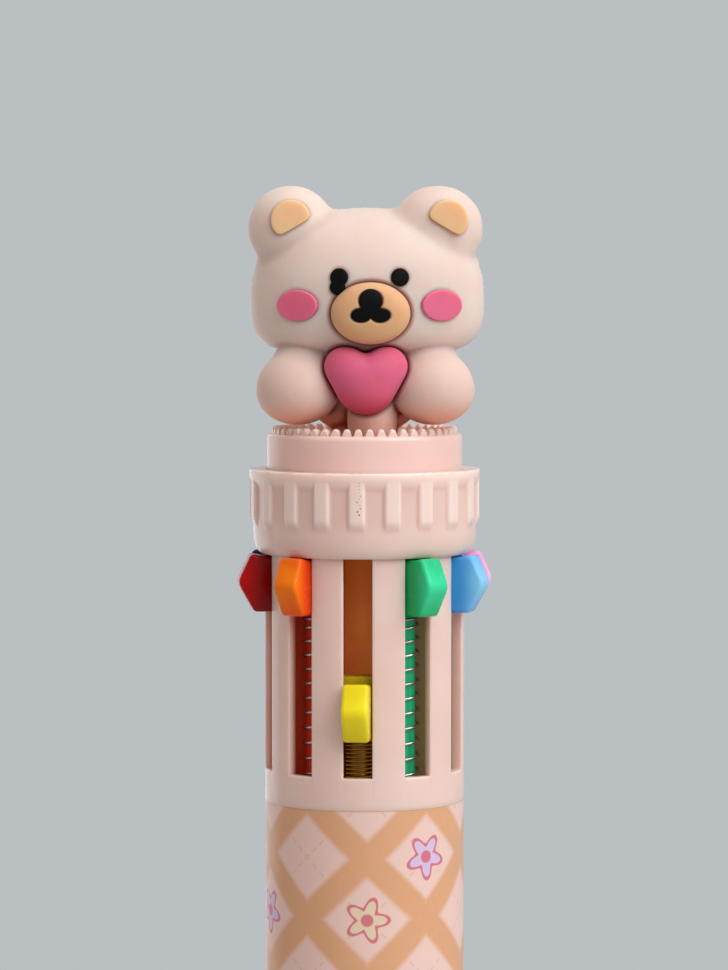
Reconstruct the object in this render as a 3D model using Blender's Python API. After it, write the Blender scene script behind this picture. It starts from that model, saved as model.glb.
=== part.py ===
"""A ten-colour click pen with a soft bear topper, modelled as its separate pieces at real size.

Run with: blender --background --python part.py
Units are metres. The origin is the clicked refill's writing point.
+Z runs up the pen's axis, and the front faces -Y.
Nine buttons are up and the yellow one is clicked down, with its refill out of the nose.
"""

import math

import bmesh
import bpy
from mathutils import Matrix, Vector

MM = 0.001

# Clearances
FIT_GAP = 0.1 * MM
SEAT_GAP = 0.1 * MM
SLIDE_GAP = 0.09 * MM
INLAY_GAP = 0.08 * MM

# Slotted sleeve: its radius sets the barrel, the collar, the cap and the ring of stations
SLEEVE_RADIUS = 8.05 * MM
SLEEVE_WALL = 0.85 * MM
SLEEVE_EXPOSED = 19.96 * MM
FLOOR_FLANGE = 0.8 * MM
FLOOR_PLUG_LENGTH = 4.5 * MM
SLOT_SILL = 2.6 * MM
FINGER_WIDTH = 2.68 * MM

# Nose and lower barrel
NOSE_LENGTH = 17.0 * MM
NOSE_HOLE_RADIUS = 1.4 * MM
NOSE_END_RADIUS = 2.5 * MM
NOSE_BULGE = 0.6 * MM
NOSE_SPIGOT_LENGTH = 8.0 * MM
NOSE_SPIGOT_WALL = 0.9 * MM
NOSE_CONE_HEIGHT = 15.0 * MM
BARREL_LENGTH = 95.0 * MM
BARREL_INSET = 0.13 * MM
BARREL_WALL = 0.75 * MM

# Ribbed collar and toothed cap
COLLAR_HEIGHT = 6.8 * MM
COLLAR_STEP = 0.75 * MM
COLLAR_EDGE = 0.6 * MM
COLLAR_RIM_STEP = 0.48 * MM
COLLAR_RIM_HEIGHT = 0.5 * MM
COLLAR_LIP = 0.9 * MM
RIB_COUNT = 20
RIB_WIDTH = 1.35 * MM
RIB_LENGTH = 3.7 * MM
CROWN_INSET = 0.25 * MM
CROWN_WALL = 1.1 * MM
CROWN_HEIGHT = 2.85 * MM
CAP_FLOOR = 0.7 * MM
CAP_SKIRT_WALL = 0.85 * MM
TOOTH_COUNT = 50
TOOTH_HEIGHT = 0.57 * MM
TOOTH_GAP_BOTTOM = 0.3 * MM
TOOTH_GAP_TOP = 0.5 * MM
HUB_WALL = 1.2 * MM

# Ten stations around the axis, counted from the front to the viewer's left
COLOURS = ("yellow", "orange", "red", "blue", "black", "brown", "purple", "pink", "sky", "green")
CLICKED = "yellow"
FIRST_ANGLE = math.radians(-4.0)
STATION_INSET = 1.72 * MM
CLICK_TRAVEL = 9.8 * MM

# Buttons
BUTTON_HEIGHT = 4.47 * MM
BUTTON_APEX_RISE = 2.38 * MM
BUTTON_APEX_OUT = 2.4 * MM
BUTTON_TOP_OUT = 1.35 * MM
BUTTON_BOTTOM_OUT = 1.08 * MM
BUTTON_BEVEL = 0.12 * MM
BLOCK_HEIGHT = 5.0 * MM
BLOCK_DEPTH = 2.3 * MM
BLOCK_SHOULDER = 0.2 * MM
CATCH_WIDTH = 1.6 * MM
CATCH_HEIGHT = 1.2 * MM
CATCH_RISE = 0.3 * MM
PEG_CLEARANCE = 0.15 * MM
PEG_LENGTH = 3.0 * MM

# Central latch core
CORE_CLEARANCE = 0.25 * MM
CORE_LEDGE_DEPTH = 0.4 * MM
CORE_LEDGE_HEIGHT = 1.2 * MM
CORE_SPIGOT_RADIUS = 2.0 * MM
CORE_PIN_RADIUS = 1.5 * MM
CORE_PIN_LENGTH = 1.6 * MM

# Refills
TUBE_SPACING = 0.1 * MM
TUBE_WALL = 0.35 * MM
TIP_LENGTH = 12.0 * MM
TIP_REACH = 2.5 * MM
TIP_CLEARANCE = 0.5 * MM
BALL_RADIUS = 0.35 * MM
POINT_RADIUS = 0.45 * MM
POINT_LENGTH = 2.2 * MM
TIP_SHOULDER_RADIUS = 0.75 * MM
GUIDE_CLEARANCE = 0.25 * MM
GUIDE_HOLE_SHIFT = 0.15 * MM

# Return springs
SPRING_CLEARANCE = 0.12 * MM
SPRING_WIRE_RADIUS = 0.14 * MM
SPRING_TURNS = 12.5
SPRING_END_PITCH = 0.33 * MM

# Bear topper: places are measured from the collar's top, on the pen's axis
BEAR_UNIT = 1.0 * MM
BEAR_SHIFT = 0.12 * BEAR_UNIT
FACE_SHIFT = 0.39 * BEAR_UNIT
HEAD_CENTRE = Vector((0.36, 0.0, 14.97)) * BEAR_UNIT
HEAD_RADII = Vector((9.3, 6.6, 6.05)) * BEAR_UNIT
HEAD_SQUARENESS = 2.5
EAR_CENTRE = Vector((5.89, 0.4, 19.31)) * BEAR_UNIT
EAR_RADII = Vector((3.4, 2.4, 3.4)) * BEAR_UNIT
ARM_CENTRE = Vector((5.44, -2.2, 6.85)) * BEAR_UNIT
ARM_RADII = Vector((3.1, 3.2, 3.28)) * BEAR_UNIT
ARM_TILT = math.radians(14.0)
BODY_CENTRE = Vector((0.0, -0.4, 7.0)) * BEAR_UNIT
BODY_RADII = Vector((5.4, 4.6, 4.4)) * BEAR_UNIT
STEM_RADIUS = 2.65 * BEAR_UNIT
BEAR_PEG_RADIUS = 1.5 * BEAR_UNIT
BEAR_PEG_LENGTH = 2.6 * BEAR_UNIT
EAR_PAD_CENTRE = Vector((6.36, 0.0, 19.96)) * BEAR_UNIT
EAR_PAD_RADIUS = 1.44 * BEAR_UNIT
EAR_PAD_FLAT = 0.62 * BEAR_UNIT
EAR_PAD_DEPTH = 0.9 * BEAR_UNIT
EAR_PAD_AWAY = math.radians(59.0)
EYE_CENTRE = Vector((2.4, 0.0, 15.3)) * BEAR_UNIT
EYE_RADII = Vector((0.7, 0.45, 0.72)) * BEAR_UNIT
CHEEK_CENTRE = Vector((5.73, 0.0, 13.14)) * BEAR_UNIT
CHEEK_RADII = Vector((1.8, 0.5, 1.23)) * BEAR_UNIT
MUZZLE_CENTRE = Vector((0.47, -6.0, 12.53)) * BEAR_UNIT
MUZZLE_RADII = Vector((3.15, 2.0, 2.46)) * BEAR_UNIT
NOSE_RISE = 1.0 * BEAR_UNIT
NOSE_RADII = Vector((0.94, 0.6, 0.94)) * BEAR_UNIT
MOUTH_DROP = 0.1 * BEAR_UNIT
MOUTH_SPREAD = 0.72 * BEAR_UNIT
MOUTH_RADII = Vector((0.85, 0.6, 0.62)) * BEAR_UNIT
HEART_CENTRE = Vector((0.08, -6.0, 7.19)) * BEAR_UNIT
HEART_SIZE = Vector((6.64, 3.4, 5.37)) * BEAR_UNIT
HEART_ROUNDNESS = 0.5
HEART_FULLNESS = 0.7
HEART_WAVES = (2.5, 13.0, -5.0, -2.0, -1.0)
HEART_SPAN = 29.0

# Facets
ROUND_SIDES = 50
POST_SIDES = 24
HOLE_SIDES = 16
PEG_SIDES = 10
TUBE_SIDES = 8
COIL_SIDES = 8
WIRE_SIDES = 3
NOSE_STEPS = 5
TUBE_BENDS = 6
HEART_POINTS = 24
HEART_LAYERS = 8
EAR_PAD_POINTS = 17

# Display colours, 0 to 255 a channel
SHELL_PINK = (236, 208, 197)
PRINTED_PINK = (230, 192, 174)
BEAR_CREAM = (241, 216, 204)
BEAR_TAN = (212, 166, 122)
BEAR_ROSE = (222, 112, 138)
BEAR_DARK = (20, 22, 24)
STEEL_GREY = (205, 205, 205)
INKS = {
    "yellow": (238, 226, 40),
    "orange": (245, 112, 12),
    "red": (176, 10, 14),
    "blue": (52, 48, 140),
    "black": (26, 26, 28),
    "brown": (112, 62, 32),
    "purple": (122, 64, 164),
    "pink": (238, 150, 200),
    "sky": (104, 178, 232),
    "green": (64, 198, 142),
}

# Levels up the axis, worked out from the sizes above
NOSE_TOP = TIP_REACH + NOSE_LENGTH
BARREL_TOP = NOSE_TOP + BARREL_LENGTH
SPRING_SEAT = BARREL_TOP + FLOOR_FLANGE
FLOOR_BOTTOM = BARREL_TOP - FLOOR_PLUG_LENGTH
SLOT_BOTTOM = BARREL_TOP + SLOT_SILL
COLLAR_BOTTOM = BARREL_TOP + SLEEVE_EXPOSED
COLLAR_TOP = COLLAR_BOTTOM + COLLAR_HEIGHT
FINGER_TOP = COLLAR_TOP - COLLAR_LIP - SEAT_GAP
CROWN_TOP = COLLAR_TOP + CROWN_HEIGHT
CAP_FLOOR_TOP = COLLAR_TOP + CAP_FLOOR
BUTTON_UP = COLLAR_BOTTOM - BUTTON_HEIGHT - SEAT_GAP
CAP_BOTTOM = BUTTON_UP + BLOCK_HEIGHT + SEAT_GAP
REFILL_DROP = BUTTON_UP - CLICK_TRAVEL

# Radii and widths that follow from the sleeve's radius
SLEEVE_BORE = SLEEVE_RADIUS - SLEEVE_WALL
BARREL_RADIUS = SLEEVE_RADIUS - BARREL_INSET
BARREL_BORE = BARREL_RADIUS - BARREL_WALL
COLLAR_RADIUS = SLEEVE_RADIUS + COLLAR_STEP
COLLAR_RIM_RADIUS = COLLAR_RADIUS + COLLAR_RIM_STEP
CROWN_RADIUS = SLEEVE_RADIUS - CROWN_INSET
STATION_RING = SLEEVE_BORE - STATION_INSET
STATION_CHORD = 2 * math.sin(math.pi / len(COLOURS))
SLOT_WIDTH = SLEEVE_RADIUS * STATION_CHORD - FINGER_WIDTH
BUTTON_WIDTH = SLOT_WIDTH - 2 * SLIDE_GAP
BLOCK_HALF = SLOT_WIDTH / 2 + BLOCK_SHOULDER
BLOCK_OUTER = math.sqrt((SLEEVE_BORE - FIT_GAP) ** 2 - BLOCK_HALF**2)
BLOCK_INNER = BLOCK_OUTER - BLOCK_DEPTH
HUB_BORE = BEAR_PEG_RADIUS + FIT_GAP

# The tips stay clear of the nose's inner cone, and the tubes of each other where they meet the tips
CONE_RADIUS = BARREL_BORE - FIT_GAP - NOSE_SPIGOT_WALL
CONE_SLOPE = (CONE_RADIUS - NOSE_HOLE_RADIUS) / NOSE_CONE_HEIGHT
TIP_RING = NOSE_HOLE_RADIUS + CONE_SLOPE * (CLICK_TRAVEL - TIP_REACH) - TIP_CLEARANCE
REFILL_LEAN = math.asin(TIP_RING / REFILL_DROP)
BEND_LENGTH = REFILL_DROP - BUTTON_UP + FLOOR_BOTTOM
TUBE_END_RING = STATION_RING + (TIP_RING - STATION_RING) * (1 - TIP_LENGTH / BEND_LENGTH) ** 2
TUBE_RADIUS = (TUBE_END_RING * STATION_CHORD - TUBE_SPACING) / 2
TUBE_BORE_RADIUS = TUBE_RADIUS - TUBE_WALL
PEG_RADIUS = TUBE_BORE_RADIUS - PEG_CLEARANCE
GUIDE_HOLE_RADIUS = TUBE_RADIUS + GUIDE_CLEARANCE
GUIDE_RING = STATION_RING - GUIDE_HOLE_SHIFT
SPRING_RADIUS = TUBE_RADIUS + SPRING_CLEARANCE + SPRING_WIRE_RADIUS
CORE_LEDGE_RADIUS = STATION_RING - SPRING_RADIUS - SPRING_WIRE_RADIUS - CORE_CLEARANCE
CORE_RADIUS = CORE_LEDGE_RADIUS - CORE_LEDGE_DEPTH


def linear(red, green, blue):
    """A display colour, 0 to 255 a channel, as the linear colour that a shader takes."""
    shares = [channel / 255 for channel in (red, green, blue)]
    return [s / 12.92 if s <= 0.04045 else ((s + 0.055) / 1.055) ** 2.4 for s in shares] + [1.0]


def material(name, colour, roughness, metallic=0.0):
    made = bpy.data.materials.new(name)
    made.use_nodes = True
    shader = made.node_tree.nodes["Principled BSDF"]
    shader.inputs["Base Color"].default_value = linear(*colour)
    shader.inputs["Roughness"].default_value = roughness
    shader.inputs["Metallic"].default_value = metallic
    return made


def lofted(rings, closed=False):
    """A mesh skinned from ring to ring of points.

    A ring of one point is a tip, and closed joins the last ring to the first.
    """
    shape = bmesh.new()
    made = [[shape.verts.new(point) for point in ring] for ring in rings]
    following = made[1:] + (made[:1] if closed else [])
    for ring, after in zip(made, following):
        count = max(len(ring), len(after))
        for i in range(count):
            j = (i + 1) % count
            near = [ring[i % len(ring)], ring[j % len(ring)]]
            far = [after[j % len(after)], after[i % len(after)]]
            shape.faces.new(list(dict.fromkeys(near + far)))
    for end in () if closed else (made[0], made[-1]):
        if len(end) > 2:
            shape.faces.new(end)
    bmesh.ops.recalc_face_normals(shape, faces=shape.faces)
    mesh = bpy.data.meshes.new("shape")
    shape.to_mesh(mesh)
    shape.free()
    return mesh


def circle(radius, height, sides):
    turns = [2 * math.pi * i / sides for i in range(sides)]
    return [(radius * math.cos(turn), radius * math.sin(turn), height) for turn in turns]


def turned(outline, sides=ROUND_SIDES):
    """A ring-shaped solid: the closed outline of (radius, height) points swept round the axis."""
    return lofted([circle(radius, height, sides) for radius, height in outline], closed=True)


def pillar(outline, sides):
    """A solid on the axis, whose (radius, height) outline runs from its bottom face to its top face."""
    return lofted([circle(radius, height, sides) for radius, height in outline])


def prism(outline, axis, start, end):
    """A flat outline in the other two axes, in their order, pushed from start to end along this one."""
    slot = "XYZ".index(axis)
    rings = [[(*point[:slot], level, *point[slot:]) for point in outline] for level in (start, end)]
    return lofted(rings)


def box(low, high):
    outline = [(low[0], low[2]), (high[0], low[2]), (high[0], high[2]), (low[0], high[2])]
    return prism(outline, "Y", low[1], high[1])


def ball(centre, radii, sides=16, rings=9, squareness=2.0):
    """An ellipsoid of latitude rings. A squareness over 2 makes it boxier."""

    def pull(value):
        return math.copysign(abs(value) ** (2 / squareness), value)

    layers = []
    for ring in range(rings + 1):
        latitude = math.pi * (ring / rings - 0.5)
        width = pull(math.cos(latitude)) if 0 < ring < rings else 0.0
        height = pull(math.sin(latitude))
        layer = []
        for i in range(sides if width else 1):
            turn = 2 * math.pi * i / sides
            point = Vector((width * pull(math.cos(turn)), width * pull(math.sin(turn)), height))
            layer.append(point * radii + centre)
        layers.append(layer)
    return lofted(layers)


def moved(mesh, matrix):
    mesh.transform(matrix)
    return mesh


def gathered(meshes):
    """Several meshes, clear of each other, as one."""
    shape = bmesh.new()
    for mesh in meshes:
        shape.from_mesh(mesh)
    mesh = bpy.data.meshes.new("shape")
    shape.to_mesh(mesh)
    shape.free()
    return mesh


def around(make, count, first=FIRST_ANGLE):
    """Copies of what make() draws along +X, spread evenly about the axis from the first angle."""
    turns = [facing(first - 2 * math.pi * i / count) for i in range(count)]
    return gathered([moved(make(), Matrix.Rotation(turn, 4, "Z")) for turn in turns])


def facing(angle):
    """The turn about Z that brings +X to an angle from the front, positive to the viewer's right."""
    return angle - math.pi / 2


def combined(base, *steps):
    """The base mesh after each Boolean step, given as an operation and a mesh."""
    objects = [bpy.data.objects.new("shape", mesh) for mesh in (base, *(mesh for _, mesh in steps))]
    for made in objects:
        bpy.context.collection.objects.link(made)
    for (operation, _), helper in zip(steps, objects[1:]):
        modifier = objects[0].modifiers.new(operation, "BOOLEAN")
        modifier.operation = operation
        modifier.object = helper
    graph = bpy.context.evaluated_depsgraph_get()
    result = bpy.data.meshes.new_from_object(objects[0].evaluated_get(graph))
    for made in objects:
        bpy.data.objects.remove(made)
    return result


def piece(name, mesh, look, parent=None, location=(0, 0, 0), rotation=(0, 0, 0)):
    """One named object. Its material belongs to the object, so that copies can share a mesh."""
    made = bpy.data.objects.new(name, mesh)
    bpy.context.collection.objects.link(made)
    if not mesh.materials:
        mesh.materials.append(None)
    made.material_slots[0].link = "OBJECT"
    made.material_slots[0].material = look
    made.parent = parent
    made.location = location
    made.rotation_euler = rotation
    return made


def smooth(mesh):
    mesh.shade_smooth()
    mesh.set_sharp_from_angle(angle=math.radians(40))
    return mesh


def nose_cone():
    """The screw-in nose: a bulged cone over a straight inner cone that steers each tip to the hole."""
    slope = (BARREL_RADIUS - NOSE_END_RADIUS) / NOSE_LENGTH
    outer = []
    for i in range(NOSE_STEPS + 1):
        height = NOSE_LENGTH * i / NOSE_STEPS
        bulge = NOSE_BULGE * math.sin(math.pi * i / NOSE_STEPS)
        outer.append((NOSE_END_RADIUS + slope * height + bulge, TIP_REACH + height))
    spigot = BARREL_BORE - FIT_GAP
    spigot_top = NOSE_TOP + NOSE_SPIGOT_LENGTH
    return turned([
        (NOSE_HOLE_RADIUS, TIP_REACH),
        *outer,
        (spigot, NOSE_TOP),
        (spigot, spigot_top),
        (CONE_RADIUS, spigot_top),
        (CONE_RADIUS, TIP_REACH + NOSE_CONE_HEIGHT),
    ])


def lower_barrel():
    bottom = NOSE_TOP + SEAT_GAP
    return turned([
        (BARREL_BORE, bottom),
        (BARREL_RADIUS, bottom),
        (BARREL_RADIUS, BARREL_TOP),
        (BARREL_BORE, BARREL_TOP),
    ])


def slotted_sleeve():
    """Ten fingers between open-topped slots, on a floor with a guide hole for each refill."""
    socket = CORE_SPIGOT_RADIUS + FIT_GAP
    plug = BARREL_BORE - FIT_GAP
    shoulder = BARREL_TOP + SEAT_GAP
    body = turned([
        (socket, FLOOR_BOTTOM),
        (plug, FLOOR_BOTTOM),
        (plug, shoulder),
        (SLEEVE_RADIUS, shoulder),
        (SLEEVE_RADIUS, FINGER_TOP),
        (SLEEVE_BORE, FINGER_TOP),
        (SLEEVE_BORE, SPRING_SEAT),
        (socket, SPRING_SEAT),
    ])

    def slot():
        low = (SLEEVE_BORE - SLEEVE_WALL, -SLOT_WIDTH / 2, SLOT_BOTTOM)
        high = (SLEEVE_RADIUS + SLEEVE_WALL, SLOT_WIDTH / 2, FINGER_TOP + SLEEVE_WALL)
        return box(low, high)

    def guide_hole():
        ends = (FLOOR_BOTTOM - FLOOR_FLANGE, SPRING_SEAT + FLOOR_FLANGE)
        drill = pillar([(GUIDE_HOLE_RADIUS, end) for end in ends], HOLE_SIDES)
        return moved(drill, Matrix.Translation((GUIDE_RING, 0, 0)))

    count = len(COLOURS)
    return combined(body, ("DIFFERENCE", around(slot, count)), ("DIFFERENCE", around(guide_hole, count)))


def ribbed_collar():
    """The ring pressed over the fingers, with ribs that hang from its rim."""
    bore = SLEEVE_RADIUS + FIT_GAP
    lip = CROWN_RADIUS + FIT_GAP
    rim_bottom = COLLAR_TOP - COLLAR_RIM_HEIGHT
    halfway = COLLAR_EDGE * (1 - math.sqrt(0.5))
    body = turned([
        (bore, COLLAR_BOTTOM),
        (COLLAR_RADIUS - COLLAR_EDGE, COLLAR_BOTTOM),
        (COLLAR_RADIUS - halfway, COLLAR_BOTTOM + halfway),
        (COLLAR_RADIUS, COLLAR_BOTTOM + COLLAR_EDGE),
        (COLLAR_RADIUS, rim_bottom),
        (COLLAR_RIM_RADIUS, rim_bottom),
        (COLLAR_RIM_RADIUS, COLLAR_TOP),
        (lip, COLLAR_TOP),
        (lip, COLLAR_TOP - COLLAR_LIP),
        (bore, COLLAR_TOP - COLLAR_LIP),
    ])

    def rib():
        root = (bore + COLLAR_RADIUS) / 2
        low = (root, -RIB_WIDTH / 2, rim_bottom - RIB_LENGTH)
        return box(low, (COLLAR_RIM_RADIUS, RIB_WIDTH / 2, rim_bottom + COLLAR_RIM_HEIGHT / 2))

    return combined(body, ("UNION", around(rib, RIB_COUNT)))


def toothed_cap():
    """The cap inside the collar: a skirt behind the fingers, a floor with a hub, and a toothed crown."""
    skirt = SLEEVE_BORE - FIT_GAP
    hub_bottom = CAP_BOTTOM + FIT_GAP
    tooth_top = CROWN_TOP + TOOTH_HEIGHT
    body = turned([
        (HUB_BORE, hub_bottom),
        (HUB_BORE + HUB_WALL, hub_bottom),
        (HUB_BORE + HUB_WALL, COLLAR_TOP),
        (skirt - CAP_SKIRT_WALL, COLLAR_TOP),
        (skirt - CAP_SKIRT_WALL, CAP_BOTTOM),
        (skirt, CAP_BOTTOM),
        (skirt, FINGER_TOP + SEAT_GAP),
        (CROWN_RADIUS, FINGER_TOP + SEAT_GAP),
        (CROWN_RADIUS, tooth_top),
        (CROWN_RADIUS - CROWN_WALL, tooth_top),
        (CROWN_RADIUS - CROWN_WALL, CAP_FLOOR_TOP),
        (HUB_BORE, CAP_FLOOR_TOP),
    ])

    def notch():
        above = tooth_top + TOOTH_HEIGHT
        flare = (TOOTH_GAP_TOP - TOOTH_GAP_BOTTOM) * (above - CROWN_TOP) / TOOTH_HEIGHT
        low = TOOTH_GAP_BOTTOM / 2
        high = (TOOTH_GAP_BOTTOM + flare) / 2
        outline = [(-low, CROWN_TOP), (low, CROWN_TOP), (high, above), (-high, above)]
        return prism(outline, "X", CROWN_RADIUS - 2 * CROWN_WALL, CROWN_RADIUS + CROWN_WALL)

    return combined(body, ("DIFFERENCE", around(notch, TOOTH_COUNT)))


def latch_core():
    """The post between floor and hub. A clicked button's catch sits under its ledge."""
    latch = BUTTON_UP - CLICK_TRAVEL + CATCH_RISE + CATCH_HEIGHT + SEAT_GAP
    chamfer = CORE_LEDGE_RADIUS - CORE_RADIUS
    top = CAP_BOTTOM + FIT_GAP - SEAT_GAP
    return pillar([
        (CORE_SPIGOT_RADIUS, FLOOR_BOTTOM),
        (CORE_SPIGOT_RADIUS, SPRING_SEAT + SEAT_GAP),
        (CORE_RADIUS, SPRING_SEAT + SEAT_GAP),
        (CORE_RADIUS, latch),
        (CORE_LEDGE_RADIUS, latch),
        (CORE_LEDGE_RADIUS, latch + CORE_LEDGE_HEIGHT),
        (CORE_RADIUS, latch + CORE_LEDGE_HEIGHT + chamfer),
        (CORE_RADIUS, top),
        (CORE_PIN_RADIUS, top),
        (CORE_PIN_RADIUS, top + CORE_PIN_LENGTH),
    ], POST_SIDES)


def bevelled(mesh, width):
    shape = bmesh.new()
    shape.from_mesh(mesh)
    bmesh.ops.bevel(shape, geom=shape.edges, offset=width, segments=1, affect="EDGES")
    shape.to_mesh(mesh)
    shape.free()
    return mesh


def click_button():
    """A button on +X with its underside at height 0: knob, slide block, catch and refill peg."""
    root = (BLOCK_INNER + BLOCK_OUTER) / 2
    knob = bevelled(prism([
        (root, 0.0),
        (SLEEVE_RADIUS + BUTTON_BOTTOM_OUT, 0.0),
        (SLEEVE_RADIUS + BUTTON_APEX_OUT, BUTTON_APEX_RISE),
        (SLEEVE_RADIUS + BUTTON_TOP_OUT, BUTTON_HEIGHT),
        (root, BUTTON_HEIGHT),
    ], "Y", -BUTTON_WIDTH / 2, BUTTON_WIDTH / 2), BUTTON_BEVEL)
    block = box((BLOCK_INNER, -BLOCK_HALF, 0.0), (BLOCK_OUTER, BLOCK_HALF, BLOCK_HEIGHT))
    catch_inner = CORE_LEDGE_RADIUS + SLIDE_GAP
    catch_low = (catch_inner, -CATCH_WIDTH / 2, CATCH_RISE)
    catch = box(catch_low, (root, CATCH_WIDTH / 2, CATCH_RISE + CATCH_HEIGHT))
    peg = pillar([(PEG_RADIUS, -PEG_LENGTH), (PEG_RADIUS, BUTTON_HEIGHT / 2)], PEG_SIDES)
    peg = moved(peg, Matrix.Translation((STATION_RING, 0, 0)))
    return combined(block, ("UNION", knob), ("UNION", catch), ("UNION", peg))


def refill():
    """An ink tube with its writing tip, hung from the button's peg and curving in below the floor."""
    tip_bottom = -REFILL_DROP
    bend_top = FLOOR_BOTTOM - BUTTON_UP
    tube_bottom = tip_bottom + TIP_LENGTH
    top = -SEAT_GAP
    bore_bottom = -PEG_LENGTH - 2 * SEAT_GAP

    def centre(height):
        share = max(0.0, (bend_top - height) / BEND_LENGTH)
        return (TIP_RING - STATION_RING) * share**2

    point_top = tip_bottom + POINT_LENGTH
    profile = [
        (BALL_RADIUS / 2, tip_bottom),
        (BALL_RADIUS, tip_bottom + BALL_RADIUS / 2),
        (POINT_RADIUS, point_top),
        (TIP_SHOULDER_RADIUS, point_top + POINT_RADIUS),
        (TUBE_RADIUS, tube_bottom),
    ]
    for i in range(1, TUBE_BENDS + 1):
        profile.append((TUBE_RADIUS, tube_bottom + (bend_top - tube_bottom) * i / TUBE_BENDS))
    profile += [(TUBE_RADIUS, top), (TUBE_BORE_RADIUS, top), (TUBE_BORE_RADIUS, bore_bottom)]
    rings = []
    for radius, height in profile:
        ring = circle(radius, height, TUBE_SIDES)
        rings.append([(x + centre(height), y, z) for x, y, z in ring])
    return lofted(rings)


def spring(length):
    """A coil with closed ends, standing on the origin."""
    steps = round(SPRING_TURNS * COIL_SIDES)
    middle = length - 2 * SPRING_WIRE_RADIUS - 2 * SPRING_END_PITCH
    pitch = middle / (SPRING_TURNS - 2)

    def climb(turn):
        low = min(turn, 1.0) * SPRING_END_PITCH
        high = max(turn - SPRING_TURNS + 1.0, 0.0) * SPRING_END_PITCH
        return low + high + min(max(turn - 1.0, 0.0), SPRING_TURNS - 2) * pitch

    rings = []
    for step in range(steps + 1):
        turn = step / COIL_SIDES
        angle = 2 * math.pi * turn
        ring = []
        for side in range(WIRE_SIDES):
            around_wire = 2 * math.pi * (side + 0.5) / WIRE_SIDES
            radius = SPRING_RADIUS + SPRING_WIRE_RADIUS * math.cos(around_wire)
            height = SPRING_WIRE_RADIUS * (1 + math.sin(around_wire)) + climb(turn)
            ring.append((radius * math.cos(angle), radius * math.sin(angle), height))
        rings.append(ring)
    return lofted(rings)


def on_head(x, z):
    """The point of the head's front at this x and z, and the way out of the surface there."""
    power = HEAD_SQUARENESS
    side = (x - HEAD_CENTRE.x) / HEAD_RADII.x
    rise = (z - HEAD_CENTRE.z) / HEAD_RADII.z
    front = -((1 - abs(side) ** power - abs(rise) ** power) ** (1 / power))
    outward = Vector()
    for axis, share in enumerate((side, front, rise)):
        outward[axis] = math.copysign(abs(share) ** (power - 1), share) / HEAD_RADII[axis]
    return Vector((x, HEAD_CENTRE.y + front * HEAD_RADII.y, z)), outward.normalized()


def face_inlay(x, z, radii, gap):
    """A button-like inlay sunk halfway into the head's front, with its thin side to the surface."""
    point, outward = on_head(x, z)
    turn = Vector((0, -1, 0)).rotation_difference(outward).to_matrix().to_4x4()
    return moved(ball(Vector(), grown(radii, gap), 12, 6), Matrix.Translation(point) @ turn)


def grown(radii, gap):
    return Vector(radii) + Vector((gap, gap, gap))


def eye(side, gap=0.0):
    return face_inlay(FACE_SHIFT + side * EYE_CENTRE.x, EYE_CENTRE.z, EYE_RADII, gap)


def cheek(side, gap=0.0):
    return face_inlay(FACE_SHIFT + side * CHEEK_CENTRE.x, CHEEK_CENTRE.z, CHEEK_RADII, gap)


def ear_pad(side, gap=0.0):
    """A rounded pad with one flat edge, which faces down and to the middle of the head."""
    radius = EAR_PAD_RADIUS + gap
    flat = EAR_PAD_FLAT + gap
    half = math.acos(-flat / radius)
    away = EAR_PAD_AWAY if side > 0 else math.pi - EAR_PAD_AWAY
    front = EAR_CENTRE.y - EAR_RADII.y - EAR_PAD_DEPTH / 3
    middle_x = FACE_SHIFT + side * EAR_PAD_CENTRE.x
    outline = []
    for i in range(EAR_PAD_POINTS):
        turn = away + half * (2 * i / (EAR_PAD_POINTS - 1) - 1)
        outline.append((middle_x + radius * math.cos(turn), EAR_PAD_CENTRE.z + radius * math.sin(turn)))
    return prism(outline, "Y", front - gap, front + EAR_PAD_DEPTH + gap)


def muzzle_shape(gap=0.0):
    return ball(MUZZLE_CENTRE, grown(MUZZLE_RADII, gap), 16, 8)


def nose_and_mouth(gap=0.0):
    """The round nose over a two-lobed mouth, as one inlay in the muzzle's front."""
    front = MUZZLE_CENTRE.y - MUZZLE_RADII.y
    nose_middle = Vector((MUZZLE_CENTRE.x, front, MUZZLE_CENTRE.z + NOSE_RISE))
    nose = ball(nose_middle, grown(NOSE_RADII, gap), 12, 6)
    lobes = []
    for side in (-1, 1):
        across = MUZZLE_CENTRE.x + side * MOUTH_SPREAD
        middle = Vector((across, front, MUZZLE_CENTRE.z - MOUTH_DROP))
        lobes.append(ball(middle, grown(MOUTH_RADII, gap), 10, 5))
    return combined(nose, ("UNION", lobes[0]), ("UNION", lobes[1]))


def heart_shape(gap=0.0):
    """A puffed heart: its outline shrinks from the middle to a point at the front and at the back."""
    outline = []
    for i in range(HEART_POINTS):
        t = 2 * math.pi * i / HEART_POINTS
        across = HEART_ROUNDNESS * math.sin(t) + (1 - HEART_ROUNDNESS) * math.sin(t) ** 3
        up = sum(wave * math.cos(k * t) for k, wave in enumerate(HEART_WAVES)) / HEART_SPAN
        outline.append((across * (HEART_SIZE.x / 2 + gap), up * (HEART_SIZE.z + 2 * gap)))
    rings = []
    for layer in range(HEART_LAYERS + 1):
        angle = math.pi * (layer / HEART_LAYERS - 0.5)
        y = HEART_CENTRE.y + math.sin(angle) * (HEART_SIZE.y / 2 + gap)
        share = math.cos(angle) ** HEART_FULLNESS if 0 < layer < HEART_LAYERS else 0.0
        points = outline if share else [(0.0, 0.0)]
        middle = Vector((HEART_CENTRE.x, y, HEART_CENTRE.z))
        rings.append([middle + share * Vector((x, 0, z)) for x, z in points])
    return lofted(rings)


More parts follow.
